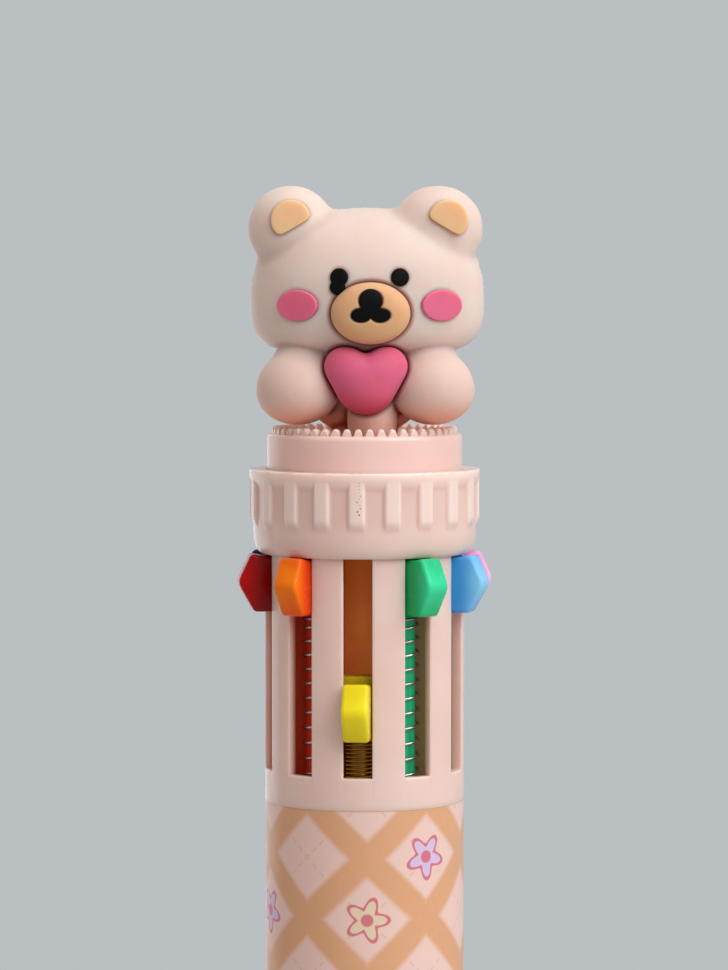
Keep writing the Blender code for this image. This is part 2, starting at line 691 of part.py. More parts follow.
def bear_figure():
    """The soft figure: head, ears, arms, body and stem in one, with a pocket for each inlay."""
    head = ball(HEAD_CENTRE, HEAD_RADII, 20, 11, HEAD_SQUARENESS)
    joins = [ball(BODY_CENTRE, BODY_RADII, 14, 7)]
    for side in (-1, 1):
        ear_middle = Vector((BEAR_SHIFT + side * EAR_CENTRE.x, EAR_CENTRE.y, EAR_CENTRE.z))
        joins.append(ball(ear_middle, EAR_RADII, 14, 7))
        arm_middle = Vector((BEAR_SHIFT + side * ARM_CENTRE.x, ARM_CENTRE.y, ARM_CENTRE.z))
        tilt = Matrix.Translation(arm_middle) @ Matrix.Rotation(side * ARM_TILT, 4, "Y")
        joins.append(moved(ball(Vector(), ARM_RADII, 14, 8), tilt))
    stem_bottom = CAP_FLOOR + SEAT_GAP
    joins.append(pillar([
        (BEAR_PEG_RADIUS, stem_bottom - BEAR_PEG_LENGTH),
        (BEAR_PEG_RADIUS, stem_bottom),
        (STEM_RADIUS, stem_bottom),
        (STEM_RADIUS, BODY_CENTRE.z),
    ], POST_SIDES))
    pockets = [muzzle_shape(INLAY_GAP), heart_shape(INLAY_GAP)]
    for side in (-1, 1):
        pockets += [eye(side, INLAY_GAP), cheek(side, INLAY_GAP), ear_pad(side, INLAY_GAP)]
    steps = [("UNION", mesh) for mesh in joins] + [("DIFFERENCE", mesh) for mesh in pockets]
    return combined(head, *steps)


def build_housing():
    shell = material("pink_plastic", SHELL_PINK, 0.32)
    print_shell = material("printed_pink_plastic", PRINTED_PINK, 0.38)
    piece("nose_cone", smooth(nose_cone()), shell)
    piece("lower_barrel", smooth(lower_barrel()), print_shell)
    piece("slotted_sleeve", smooth(slotted_sleeve()), shell)
    piece("latch_core", smooth(latch_core()), shell)
    piece("ribbed_collar", smooth(ribbed_collar()), shell)
    piece("toothed_cap", smooth(toothed_cap()), shell)


def build_stations():
    """A button, refill and spring at each station. The clicked one is down, its refill leant in."""
    steel = material("spring_steel", STEEL_GREY, 0.25, 1.0)
    button_mesh = click_button()
    refill_mesh = smooth(refill())
    free_length = BUTTON_UP - SPRING_SEAT - 2 * SEAT_GAP
    long_coil = smooth(spring(free_length))
    short_coil = smooth(spring(free_length - CLICK_TRAVEL))
    for i, colour in enumerate(COLOURS):
        station = bpy.data.objects.new("station_" + colour, None)
        bpy.context.collection.objects.link(station)
        station.rotation_euler.z = facing(FIRST_ANGLE - 2 * math.pi * i / len(COLOURS))
        down = colour == CLICKED
        underside = BUTTON_UP - (CLICK_TRAVEL if down else 0.0)
        lean = REFILL_LEAN if down else 0.0
        gloss = material("button_" + colour, INKS[colour], 0.2)
        ink = material("ink_" + colour, INKS[colour], 0.35)
        coil = short_coil if down else long_coil
        piece("button_" + colour, button_mesh, gloss, station, (0, 0, underside))
        piece("refill_" + colour, refill_mesh, ink, station, (STATION_RING, 0, underside), (0, lean, 0))
        piece("spring_" + colour, coil, steel, station, (STATION_RING, 0, SPRING_SEAT + SEAT_GAP))


def build_topper():
    """The bear and its inlays, drawn from the collar's top and lifted there by one empty."""
    base = bpy.data.objects.new("topper_base", None)
    bpy.context.collection.objects.link(base)
    base.location.z = COLLAR_TOP
    skin = material("bear_skin", BEAR_CREAM, 0.62)
    tan = material("bear_tan", BEAR_TAN, 0.6)
    rose = material("bear_rose", BEAR_ROSE, 0.55)
    dark = material("bear_dark", BEAR_DARK, 0.5)
    piece("bear_figure", smooth(bear_figure()), skin, base)
    for side, name in ((-1, "left"), (1, "right")):
        piece("ear_pad_" + name, smooth(ear_pad(side)), tan, base)
        piece("eye_" + name, smooth(eye(side)), dark, base)
        piece("cheek_" + name, smooth(cheek(side)), rose, base)
    muzzle = combined(muzzle_shape(), ("DIFFERENCE", nose_and_mouth(INLAY_GAP)))
    piece("muzzle", smooth(muzzle), tan, base)
    piece("nose_and_mouth", smooth(nose_and_mouth()), dark, base)
    piece("heart", smooth(heart_shape()), rose, base)


def main():
    for old in list(bpy.data.objects):
        bpy.data.objects.remove(old)
    build_housing()
    build_stations()
    build_topper()


main()
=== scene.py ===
# %% [markdown]
# # A ten-colour click pen with a bear on top
# The pen's solids were made elsewhere and packed as a frame: 46 solids on 21 bodies with real joints.
# This lesson dresses that frame. Each solid is replaced by a finer piece of the same size, which
# rides on the same body, so the pen still clicks. The frame comes in first, because every size
# below is either read from it or repeats one of its own values.

import math

import bmesh
import bpy
import numpy as np
from mathutils import Matrix, Vector, noise
from mathutils.bvhtree import BVHTree


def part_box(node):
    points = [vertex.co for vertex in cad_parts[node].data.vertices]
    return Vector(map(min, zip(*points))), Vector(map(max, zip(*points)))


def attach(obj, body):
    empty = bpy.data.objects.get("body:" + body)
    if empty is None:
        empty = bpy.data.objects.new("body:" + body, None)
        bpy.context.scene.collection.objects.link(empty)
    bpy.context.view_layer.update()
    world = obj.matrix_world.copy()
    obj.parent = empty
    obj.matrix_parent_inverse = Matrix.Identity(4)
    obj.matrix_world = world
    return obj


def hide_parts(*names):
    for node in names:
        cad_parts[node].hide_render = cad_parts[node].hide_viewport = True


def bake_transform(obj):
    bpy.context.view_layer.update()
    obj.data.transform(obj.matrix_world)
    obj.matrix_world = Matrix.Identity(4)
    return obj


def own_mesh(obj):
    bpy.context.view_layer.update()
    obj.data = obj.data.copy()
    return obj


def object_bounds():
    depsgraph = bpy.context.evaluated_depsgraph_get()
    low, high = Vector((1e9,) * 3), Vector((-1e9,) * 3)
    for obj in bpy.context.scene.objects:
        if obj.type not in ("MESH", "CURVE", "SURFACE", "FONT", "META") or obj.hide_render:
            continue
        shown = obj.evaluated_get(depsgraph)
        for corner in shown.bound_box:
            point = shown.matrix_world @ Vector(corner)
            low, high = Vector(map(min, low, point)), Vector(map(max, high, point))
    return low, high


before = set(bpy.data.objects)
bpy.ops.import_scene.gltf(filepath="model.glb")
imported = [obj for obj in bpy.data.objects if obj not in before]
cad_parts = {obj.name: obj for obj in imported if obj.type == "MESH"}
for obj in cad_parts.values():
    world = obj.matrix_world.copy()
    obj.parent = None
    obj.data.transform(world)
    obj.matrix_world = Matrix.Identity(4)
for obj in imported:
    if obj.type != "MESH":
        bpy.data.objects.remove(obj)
cad_box = [list(corner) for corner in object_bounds()]
MM = 0.001


def in_mm(box):
    """A box of corners in metres as rounded millimetres, to print."""
    return [[round(value / MM, 2) for value in corner] for corner in box]


print("solids:", len(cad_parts), "box in mm:", in_mm(cad_box))

# %% [markdown]
# ## Camera
# The photograph looks at the pen's upper half from the front, a little from above. Its ellipses and
# its straight sides were fitted by calculation to a camera 300 mm away that tips 3 degrees
# down, which gives a 138 mm lens on a 36 mm sensor. A longer lens further off would flatten the rims.

# %% Camera
CAMERA_AWAY = 300.0 * MM
CAMERA_HEIGHT = 155.81 * MM
CAMERA_ASIDE = -0.05 * MM
CAMERA_TIP = math.radians(3.035)
LENS_LENGTH = 138.17
SENSOR_WIDTH = 36.0
CLIP_START = 10.0 * MM

scene = bpy.context.scene
scene.view_settings.view_transform = "Standard"
camera = bpy.data.objects.new("camera", bpy.data.cameras.new("camera"))
bpy.context.collection.objects.link(camera)
camera.location = (CAMERA_ASIDE, -CAMERA_AWAY, CAMERA_HEIGHT)
camera.rotation_euler = (math.pi / 2 - CAMERA_TIP, 0, 0)
camera.data.lens = LENS_LENGTH
camera.data.sensor_width = SENSOR_WIDTH
camera.data.clip_start = CLIP_START
scene.camera = camera
print("camera height in mm:", round(camera.location.z / MM, 1))

# %% [markdown]
# ## Nodes as Python
# Both materials and Geometry Nodes are trees of nodes. Building them by hand in the editor is
# pleasant, but a script should read like the maths it does. A Sheet adds any node by its type, and
# a Wire is one output that can be added, multiplied or compared, which adds the Math node.

# %% Sheets and wires
class Wire:
    """An output socket on a sheet. Arithmetic with wires and numbers adds Math nodes."""

    def __init__(self, sheet, socket):
        self.sheet = sheet
        self.socket = socket

    def also(self, name):
        """Another output of the same node."""
        return Wire(self.sheet, self.socket.node.outputs[name])

    def maths(self, operation, *others):
        """What a Math node makes of this wire and what follows it."""
        return self.sheet.maths(operation, self, *others)

    def rises(self, edge, soft):
        """0 below the edge and 1 above it, with a soft step between."""
        span = {"Value": self, "From Min": edge - soft / 2, "From Max": edge + soft / 2}
        return self.sheet.node("ShaderNodeMapRange", {"interpolation_type": "SMOOTHSTEP"}, span)


class Sheet:
    """A node tree to draw on."""

    def __init__(self, tree):
        self.tree = tree

    def node(self, kind, settings=None, sockets=None, output=None):
        """Adds a node: its settings first, then values or wires by socket name or place."""
        made = self.tree.nodes.new(kind)
        for name, value in (settings or {}).items():
            setattr(made, name, value)
        for name, value in (sockets or {}).items():
            shown = [s for s in made.inputs if s.enabled]
            socket = shown[name] if isinstance(name, int) else next(s for s in shown if s.name == name)
            for item in value if isinstance(value, list) else [value]:
                if isinstance(item, Wire):
                    self.tree.links.new(item.socket, socket)
                else:
                    socket.default_value = item
        outputs = [s for s in made.outputs if s.enabled]
        return Wire(self, next(s for s in outputs if output in (None, s.name))) if outputs else None

    def maths(self, operation, *values):
        """A Math node on wires and numbers."""
        return self.node("ShaderNodeMath", {"operation": operation}, dict(enumerate(values)))

    def mixed(self, first, second, share):
        """One colour turning into another."""
        sockets = {"Factor": share, "A": first, "B": second}
        return self.node("ShaderNodeMix", {"data_type": "RGBA"}, sockets, "Result")

    def steps(self, share, colours):
        """One colour after another, in equal steps of a share from 0 to 1."""
        picked = self.node("ShaderNodeValToRGB", {}, {0: share}, "Color")
        ramp = picked.socket.node.color_ramp
        ramp.interpolation = "CONSTANT"
        for i, colour in enumerate(colours):
            stop = ramp.elements[i] if i < 2 else ramp.elements.new(i / len(colours))
            stop.position = i / len(colours)
            stop.color = colour
        return picked


def sign_method(operation, swapped):
    """A Wire method for an arithmetic sign, with the wire on its left or, swapped, on its right."""
    if swapped:
        return lambda wire, other: wire.sheet.maths(operation, other, wire)
    return lambda wire, other: wire.maths(operation, other)


ARITHMETIC = {
    "add": "ADD", "sub": "SUBTRACT", "mul": "MULTIPLY", "truediv": "DIVIDE", "mod": "FLOORED_MODULO",
    "pow": "POWER",
}
for sign, operation in ARITHMETIC.items():
    setattr(Wire, f"__{sign}__", sign_method(operation, swapped=False))
    setattr(Wire, f"__r{sign}__", sign_method(operation, swapped=True))
Wire.__lt__ = sign_method("LESS_THAN", swapped=False)
Wire.__gt__ = sign_method("GREATER_THAN", swapped=False)
Wire.__abs__ = lambda wire: wire.maths("ABSOLUTE")


def rgb(red, green, blue):
    """A display colour, 0 to 255 a channel, as the linear colour that a shader takes."""
    shares = [channel / 255 for channel in (red, green, blue)]
    return tuple(s / 12.92 if s <= 0.04045 else ((s + 0.055) / 1.055) ** 2.4 for s in shares) + (1.0,)


print("white check:", rgb(255, 255, 255))

# %% [markdown]
# ## Light, floor and backdrop
# The photograph has one wide soft light from the upper right, some light from overhead, and a pale grey
# surround that fills the shadows. The surround is the world: camera and mirror rays see the plain grey
# backdrop, and all other rays get an even fill. A weak light from behind draws the pale edge on the left.
# The floor fades out before the camera can see it from the front, so the backdrop stays even there and
# other views still get a contact shadow.

# %% Light, floor and backdrop
BACKDROP = rgb(186, 191, 194)
FILL = rgb(253, 239, 230)
FILL_STRENGTH = 0.44
PEN_MIDDLE = Vector((0, 0, 0.13))
# Each lamp's place and width in metres, and its energy in watts
LAMPS = {
    "key_light": ((0.31, -0.28, 0.46), 0.45, 2.35),
    "top_light": ((0.06, -0.10, 0.85), 0.40, 1.15),
    "edge_light": ((-0.30, 0.42, 0.20), 0.50, 0.50),
}
FLOOR_GREY = rgb(206, 209, 211)
FLOOR_RADIUS = 0.5
FLOOR_SIDES = 96
FLOOR_GAP = 0.2 * MM
FADE_RADIUS = 0.32
FADE_WIDTH = 0.3

world = bpy.data.worlds.new("surround")
scene.world = world
world.use_nodes = True
world.node_tree.nodes.clear()
surround = Sheet(world.node_tree)
ray = surround.node("ShaderNodeLightPath", output="Is Camera Ray")
mirror_ray = ray.also("Is Glossy Ray").maths("MAXIMUM", ray.also("Is Transmission Ray"))
seen = ray.maths("MAXIMUM", mirror_ray)
fill = surround.node("ShaderNodeBackground", {}, {"Color": FILL, "Strength": FILL_STRENGTH})
shown = surround.node("ShaderNodeBackground", {}, {"Color": BACKDROP, "Strength": 1.0})
both = surround.node("ShaderNodeMixShader", {}, {0: seen, 1: fill, 2: shown})
surround.node("ShaderNodeOutputWorld", {}, {"Surface": both})

for name, (place, width, energy) in LAMPS.items():
    lamp = bpy.data.lights.new(name, "AREA")
    lamp.size = width
    lamp.energy = energy
    softbox = bpy.data.objects.new(name, lamp)
    bpy.context.collection.objects.link(softbox)
    softbox.location = place
    softbox.rotation_euler = (PEN_MIDDLE - Vector(place)).to_track_quat("-Z", "Y").to_euler()

floor_mesh = bpy.data.meshes.new("floor")
shape = bmesh.new()
bmesh.ops.create_circle(shape, cap_ends=True, segments=FLOOR_SIDES, radius=FLOOR_RADIUS)
shape.to_mesh(floor_mesh)
shape.free()
floor = bpy.data.objects.new("floor", floor_mesh)
floor.location.z = cad_box[0][2] - FLOOR_GAP
bpy.context.collection.objects.link(floor)
floor_finish = bpy.data.materials.new("pale_floor")
floor_finish.use_nodes = True
floor_finish.node_tree.nodes.clear()
sheet = Sheet(floor_finish.node_tree)
place = sheet.node("ShaderNodeTexCoord", output="Object")
far = sheet.node("ShaderNodeVectorMath", {"operation": "LENGTH"}, {0: place}, "Value")
paint = sheet.node("ShaderNodeBsdfDiffuse", {}, {"Color": FLOOR_GREY})
clear = sheet.node("ShaderNodeBsdfTransparent")
faded = sheet.node("ShaderNodeMixShader", {}, {0: far.rises(FADE_RADIUS, FADE_WIDTH), 1: paint, 2: clear})
sheet.node("ShaderNodeOutputMaterial", {}, {"Surface": faded})
floor_mesh.materials.append(floor_finish)
print("floor radius in m:", FLOOR_RADIUS)

# %% [markdown]
# ## The moulded plastic
# The sleeve, collar, crown and nose are one glossy pale pink plastic. Real mouldings are never one
# flat colour: there are faint clouds from the flow, a fine grain, a few dust specks and rubbed
# patches with less gloss. The collar's ribs are painted paler as painted light, and the wall between
# them deeper as painted shade. Inside the sleeve the colour is painted amber shade for the light that
# has gone through the plastic, and each spring's channel gets painted light in some of its ink's colour
# and a faint painted glow for what comes through the walls. A warm band painted at the seam above the
# barrel is painted light on its shadow line. One rib at the front is scuffed with a short row of dark
# specks. A Finish is a material with its shader, and its small methods add such marks in the right size,
# since Object coordinates here are metres.

# %% Finishes
class Finish(Sheet):
    """A material sheet. Values that are the same all over are set on the shader's own sockets."""

    def __init__(self, name, **values):
        self.material = bpy.data.materials.new(name)
        self.material.use_nodes = True
        super().__init__(self.material.node_tree)
        self.shader = self.tree.nodes["Principled BSDF"]
        for socket, value in values.items():
            self.shader.inputs[socket.replace("_", " ")].default_value = value
        self.place = self.node("ShaderNodeTexCoord", output="Object")

    def cloud(self, size, detail=2.0):
        """Soft noise from 0 to 1, with blotches of about this size."""
        sockets = {"Vector": self.place, "Scale": 1 / size, "Detail": detail}
        return self.node("ShaderNodeTexNoise", {}, sockets)

    def patches(self, size, detail=2.0):
        """The same noise with clearer edges."""
        return self.cloud(size, detail).rises(0.5, 0.5)

    def specks(self, spread, size, share):
        """1 in small round specks: one cell of the spread in so many holds one."""
        cells = self.node("ShaderNodeTexVoronoi", {}, {"Vector": self.place, "Scale": 1 / spread})
        drawn = self.node("ShaderNodeSeparateColor", {}, {"Color": cells.also("Color")})
        radius = size / spread
        return (drawn < share) * (1 - cells.rises(radius, radius))

    def axes(self):
        """The place as three wires."""
        split = self.node("ShaderNodeSeparateXYZ", {}, {"Vector": self.place})
        return split, split.also("Y"), split.also("Z")

    def around(self):
        """The place as an angle from the front, a distance from the pen's axis, and a height."""
        x, y, z = self.axes()
        return x.maths("ARCTAN2", 0 - y), (x * x + y * y) ** 0.5, z

    def feed(self, colour, roughness, height=None, relief=0.0, glow=None):
        """Links what varies: colour, roughness, glow, and a height in metres of relief for the bumps."""
        self.tree.links.new(colour.socket, self.shader.inputs["Base Color"])
        self.tree.links.new(roughness.socket, self.shader.inputs["Roughness"])
        if height is not None:
            bump = self.node("ShaderNodeBump", {}, {"Strength": 1.0, "Distance": relief, "Height": height})
            self.tree.links.new(bump.socket, self.shader.inputs["Normal"])
        if glow is not None:
            self.tree.links.new(glow.socket, self.shader.inputs["Emission Color"])
        return self.material


SHELL_PINK = rgb(244, 213, 206)
SHELL_WARM = rgb(240, 206, 197)
RIB_PAINTED_LIGHT = rgb(252, 226, 218)
GAP_PAINTED_SHADE = rgb(232, 186, 168)
INSIDE_PAINTED_SHADE = rgb(206, 128, 84)
SEAM_PAINTED_LIGHT = rgb(255, 196, 168)
SPECK_BROWN = rgb(120, 92, 80)
SCUFF_BROWN = rgb(84, 60, 54)
BLACK = rgb(0, 0, 0)
COLOURS = ("yellow", "orange", "red", "blue", "black", "brown", "purple", "pink", "sky", "green")
STATIONS = len(COLOURS)
FIRST_ANGLE = math.radians(-4.0)
# The channels that show have their own tint of painted light, and a share of the painted glow
CHANNEL_PAINTED_LIGHT = {
    "orange": (rgb(146, 16, 4), 0.2), "red": (rgb(150, 20, 8), 0.3), "green": (rgb(124, 136, 104), 0.4),
    "sky": (rgb(196, 176, 160), 1.0),
}
PAINTED_CHANNEL_GLOW = 0.3
FIT_GAP = 0.1 * MM
SLEEVE_RADIUS = 8.05 * MM
SLEEVE_BORE = SLEEVE_RADIUS - 0.85 * MM
BARREL_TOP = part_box("lower_barrel")[1].z
SPRING_SEAT = BARREL_TOP + 0.8 * MM
COLLAR_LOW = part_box("ribbed_collar")[0].z
COLLAR_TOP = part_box("ribbed_collar")[1].z
COLLAR_RADIUS = SLEEVE_RADIUS + 0.94 * MM
RIM_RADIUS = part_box("ribbed_collar")[1].x
RIB_LOW = COLLAR_TOP - 4.25 * MM
MARK_ANGLE = math.radians(-2.8)
MARK_LOW = 137.9 * MM
MARK_STEP = 0.25 * MM
MARK_ASIDE = 0.3 * MM
MARK_STRENGTH = 0.7
MARKS = 11


def scuff_row(finish, angle, z):
    """1 in a short upright row of specks, each with its own size and a little off the line."""
    beads = (z - MARK_LOW) / MARK_STEP
    bead = beads.maths("FLOOR")
    aside = finish.node("ShaderNodeTexWhiteNoise", {"noise_dimensions": "1D"}, {"W": bead}, "Value")
    grown = finish.node("ShaderNodeTexWhiteNoise", {"noise_dimensions": "1D"}, {"W": bead + 40.5}, "Value")
    across = (angle - MARK_ANGLE) * RIM_RADIUS - (aside - 0.5) * MARK_ASIDE
    along = (beads % 1.0 - 0.5) * MARK_STEP
    reach = (across * across + along * along) ** 0.5
    size = grown * grown * (0.05 * MM) + 0.03 * MM
    return (1 - reach.rises(size, 0.04 * MM)) * (bead > -0.5) * (bead < MARKS - 0.5) * MARK_STRENGTH


def moulded_pink():
    """The shell's plastic, with painted light and shade on ribs, channels and seam, dust and scuffs."""
    finish = Finish("pink_plastic", Specular_IOR_Level=0.5, Subsurface_Weight=0.6,
                    Subsurface_Radius=(1.0, 0.36, 0.2), Subsurface_Scale=1.6 * MM,
                    Emission_Strength=PAINTED_CHANNEL_GLOW)
    colour = finish.mixed(SHELL_PINK, SHELL_WARM, finish.patches(5 * MM))
    angle, radius, z = finish.around()
    # Painted light on the collar's ribs and painted shade on the wall between them.
    on_wall = radius.rises(COLLAR_RADIUS - 0.2 * MM, 0.1 * MM) * z.rises(RIB_LOW, 1.2 * MM)
    raised = radius.rises(COLLAR_RADIUS + 0.14 * MM, 0.2 * MM)
    colour = finish.mixed(colour, GAP_PAINTED_SHADE, on_wall * (1 - raised) * 0.25)
    colour = finish.mixed(colour, RIB_PAINTED_LIGHT, on_wall * raised * 0.8)

    # Painted amber shade inside the sleeve, painted light in the channels' colours, and a painted glow.
    walled = z.rises(SPRING_SEAT, 0.4 * MM) * (1 - z.rises(COLLAR_LOW, 0.4 * MM))
    inside = walled * (1 - radius.rises(SLEEVE_BORE + 0.25 * MM, 0.7 * MM))
    turned_by = ((FIRST_ANGLE - angle) / (2 * math.pi) + 0.5 / STATIONS) % 1.0
    light_tints, lights = zip(*(CHANNEL_PAINTED_LIGHT.get(ink, (INSIDE_PAINTED_SHADE, 0.0)) for ink in COLOURS))
    channel = finish.mixed(INSIDE_PAINTED_SHADE, finish.steps(turned_by, light_tints), 0.75)
    colour = finish.mixed(colour, channel, inside)
    lit = finish.steps(turned_by, [(light, light, light, 1.0) for light in lights])
    glow = finish.mixed(BLACK, channel, inside * lit)

    # Painted light: a warm band over the shadow line where the sleeve meets the barrel.
    seam_light = z.rises(BARREL_TOP - 0.3 * MM, 0.1 * MM) * (1 - z.rises(BARREL_TOP + 0.3 * MM, 0.6 * MM))
    colour = finish.mixed(colour, SEAM_PAINTED_LIGHT, seam_light * 0.55)
    dust = finish.specks(spread=1.6 * MM, size=0.06 * MM, share=0.1)
    colour = finish.mixed(colour, SPECK_BROWN, dust * 0.6)
    scuffed = scuff_row(finish, angle, z) * radius.rises(COLLAR_RADIUS, 0.1 * MM)
    colour = finish.mixed(colour, SCUFF_BROWN, scuffed)
    rubbed = finish.cloud(2.6 * MM, 3.0).rises(0.55, 0.6)
    grain = finish.cloud(0.16 * MM) * 0.4 + finish.cloud(1.1 * MM)
    return finish.feed(colour, 0.16 + rubbed * 0.06, grain, 0.004 * MM, glow)


pink_plastic = moulded_pink()
print("finish:", pink_plastic.name)

# %% [markdown]
# ## Meshes from outlines
# Most of the pen is turned round its axis. An outline of corners with a rounding each is the quickest
# way to a moulded edge: the corners become small arcs, and an extra point close to each arc keeps the
# shading of the long straight walls clean. Skinning ring to ring then makes turned and bent pieces alike.

# %% Outlines and skins
def rounded(corners, steps=6):
    """A closed outline of (x, y, rounding) corners, each rounded by a small arc."""
    points = []
    for i, (x, y, radius) in enumerate(corners):
        here = Vector((x, y))
        back = Vector(corners[i - 1][:2]) - here
        ahead = Vector(corners[(i + 1) % len(corners)][:2]) - here
        if radius == 0:
            points.append(here)
            continue
        half = back.angle(ahead) / 2
        reach = min(radius / math.tan(half), 0.48 * back.length, 0.48 * ahead.length)
        radius = reach * math.tan(half)
        centre = here + (back.normalized() + ahead.normalized()).normalized() * radius / math.sin(half)
        start = here + back.normalized() * reach - centre
        end = here + ahead.normalized() * reach - centre
        first = math.atan2(start.y, start.x)
        sweep = (math.atan2(end.y, end.x) - first + math.pi) % (2 * math.pi) - math.pi
        for k in range(steps + 1):
            angle = first + sweep * k / steps
            points.append(centre + radius * Vector((math.cos(angle), math.sin(angle))))
    return points


def supported(outline, near=0.15 * MM):
    """The outline with a point close to each end of its long straight runs."""
    points = []
    for here, after in zip(outline, outline[1:] + outline[:1]):
        points.append(here)
        run = after - here
        if run.length > 6 * near:
            points += [here + run.normalized() * near, after - run.normalized() * near]
    return points


def lofted(rings, closed=False):
    """A mesh skinned from ring to ring. A ring of one point is a pole, and flat ends are capped."""
    shape = bmesh.new()
    made = [[shape.verts.new(point) for point in ring] for ring in rings]
    for ring, after in zip(made, made[1:] + (made[:1] if closed else [])):
        count = max(len(ring), len(after))
        for i in range(count):
            j = (i + 1) % count
            near = [ring[i % len(ring)], ring[j % len(ring)]]
            far = [after[j % len(after)], after[i % len(after)]]
            shape.faces.new(list(dict.fromkeys(near + far)))
    for end in () if closed else (made[0], made[-1]):
        if len(end) > 2:
            shape.faces.new(end)
    return meshed(shape)


def meshed(shape, outward=True):
    """A bmesh as a mesh, with its faces turned outwards or left as they are."""
    if outward:
        bmesh.ops.recalc_face_normals(shape, faces=shape.faces)
    mesh = bpy.data.meshes.new("shape")
    shape.to_mesh(mesh)
    shape.free()
    return mesh


def circle(radius, height, sides):
    """The points of a level ring round the axis."""
    turns = [2 * math.pi * i / sides for i in range(sides)]
    return [(radius * math.cos(turn), radius * math.sin(turn), height) for turn in turns]


def turned(corners, sides=180):
    """A ring-shaped piece: a closed outline of (radius, height, rounding) swept round the axis."""
    outline = supported(rounded(corners))
    return lofted([circle(point.x, point.y, sides) for point in outline], closed=True)


def joined(*meshes):
    """Several meshes as one, each as it is."""
    shape = bmesh.new()
    for mesh in meshes:
        shape.from_mesh(mesh)
    return meshed(shape, outward=False)


def softened(mesh, width, steps=3):
    """The mesh with all its edges rounded."""
    shape = bmesh.new()
    shape.from_mesh(mesh)
    bmesh.ops.bevel(shape, geom=shape.edges, offset=width, segments=steps, profile=0.5, affect="EDGES")
    return meshed(shape)


def block(low, high):
    """A box between two corners."""
    corners = [(low[0], low[1]), (high[0], low[1]), (high[0], high[1]), (low[0], high[1])]
    return lofted([[(x, y, z) for x, y in corners] for z in (low[2], high[2])])


SOFT_ANGLE = 80


def piece(name, mesh, finish, body, nodes=(), slot=None, sharp=38):
    """A finished piece at the origin, riding on its body in place of the solids that it stands for."""
    mesh.name = name
    mesh.materials.clear()
    mesh.materials.append(finish)
    mesh.shade_smooth()
    mesh.set_sharp_from_angle(angle=math.radians(sharp))
    made = bpy.data.objects.new(name, mesh)
    bpy.context.collection.objects.link(made)
    if body:
        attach(made, body)
    if nodes:
        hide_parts(*nodes)
    return made


print("a rounded corner has", len(rounded([(0, 0, 0), (1, 0, 0.2), (1, 1, 0)])) - 2, "points")

# %% [markdown]
# ## Rings of features
# Fingers, webs, teeth and guide holes all repeat round the axis. One small Geometry Nodes tree serves
# them: it takes the body's mesh and one feature drawn on +X, sets copies of the feature on points that
# turn about the axis, and welds them to the body or cuts them out of it. Welding with a Boolean leaves
# no walls inside, which would show as dark patches under translucent plastic. The result is baked to
# a plain mesh, since an export keeps no instances.

# %% The ring tree
FRONT = -math.pi / 2


def node_group(name, inputs):
    """A new Geometry Nodes tree with these named inputs, its sheet, and a wire for each input."""
    tree = bpy.data.node_groups.new(name, "GeometryNodeTree")
    for label, kind in inputs.items():
        tree.interface.new_socket(label, in_out="INPUT", socket_type="NodeSocket" + kind)
    tree.interface.new_socket("Geometry", in_out="OUTPUT", socket_type="NodeSocketGeometry")
    sheet = Sheet(tree)
    given = sheet.node("NodeGroupInput")
    return tree, sheet, {label: given.also(label) for label in inputs}


def finished(sheet, geometry, finish):
    """The end of a tree: its geometry without instances, in this finish."""
    plain = sheet.node("GeometryNodeRealizeInstances", {}, {"Geometry": geometry})
    painted = sheet.node("GeometryNodeSetMaterial", {}, {"Geometry": plain, "Material": finish})
    sheet.node("NodeGroupOutput", {}, {"Geometry": painted})


def ring_tree(name, operation):
    """A tree that welds a ring of features to a body, or cuts it out."""
    inputs = {"Geometry": "Geometry", "Feature": "Object", "Count": "Int", "First Turn": "Float",
              "Finish": "Material"}
    tree, sheet, given = node_group(name, inputs)
    feature = sheet.node("GeometryNodeObjectInfo", {}, {"Object": given["Feature"]}, "Geometry")
    points = sheet.node("GeometryNodePoints", {}, {"Count": given["Count"]})
    turn = given["First Turn"] - sheet.node("GeometryNodeInputIndex") * (2 * math.pi / given["Count"])
    facing = sheet.node("ShaderNodeCombineXYZ", {}, {"Z": turn})
    sockets = {"Points": points, "Instance": feature, "Rotation": facing}
    copies = sheet.node("GeometryNodeInstanceOnPoints", {}, sockets)
    copies = sheet.node("GeometryNodeRealizeInstances", {}, {"Geometry": copies})
    body = given["Geometry"]
    both = {0: body, 1: copies} if operation == "DIFFERENCE" else {0: [body, copies]}
    whole = sheet.node("GeometryNodeMeshBoolean", {"operation": operation, "solver": "EXACT"}, both, "Mesh")
    finished(sheet, whole, given["Finish"])
    return tree


def applied(maker):
    """The plain mesh that an object's modifiers make. The object itself goes."""
    bpy.context.collection.objects.link(maker)
    graph = bpy.context.evaluated_depsgraph_get()
    made = bpy.data.meshes.new_from_object(maker.evaluated_get(graph))
    bpy.data.objects.remove(maker)
    return made


def baked(mesh, tree, values):
    """What the tree makes of a mesh with these input values, as a plain mesh."""
    maker = bpy.data.objects.new("maker", mesh)
    modifier = maker.modifiers.new("nodes", "NODES")
    modifier.node_group = tree
    for item in tree.interface.items_tree:
        if item.in_out == "INPUT" and item.name in values:
            modifier[item.identifier] = values[item.name]
    return applied(maker)


def ringed(mesh, tree, feature, count, first, finish):
    """The mesh with its ring of features, the first at this angle from the front."""
    model = bpy.data.objects.new("feature", feature)
    bpy.context.collection.objects.link(model)
    values = {"Feature": model, "Count": count, "First Turn": FRONT + first, "Finish": finish}
    made = baked(mesh, tree, values)
    bpy.data.objects.remove(model)
    return made


ring_of = ring_tree("ring_of_features", "UNION")
ring_cut = ring_tree("ring_of_cuts", "DIFFERENCE")
print("trees:", ring_of.name, ring_cut.name)

# %% [markdown]
# ## Nose and lower barrel
# Both are turned pieces. The nose is a slightly bulged cone whose inside steers the tips to one hole.
# The barrel is a plain printed tube, open at both ends, with small rounds where it meets the nose and
# the sleeve, which show as two thin shadow lines.

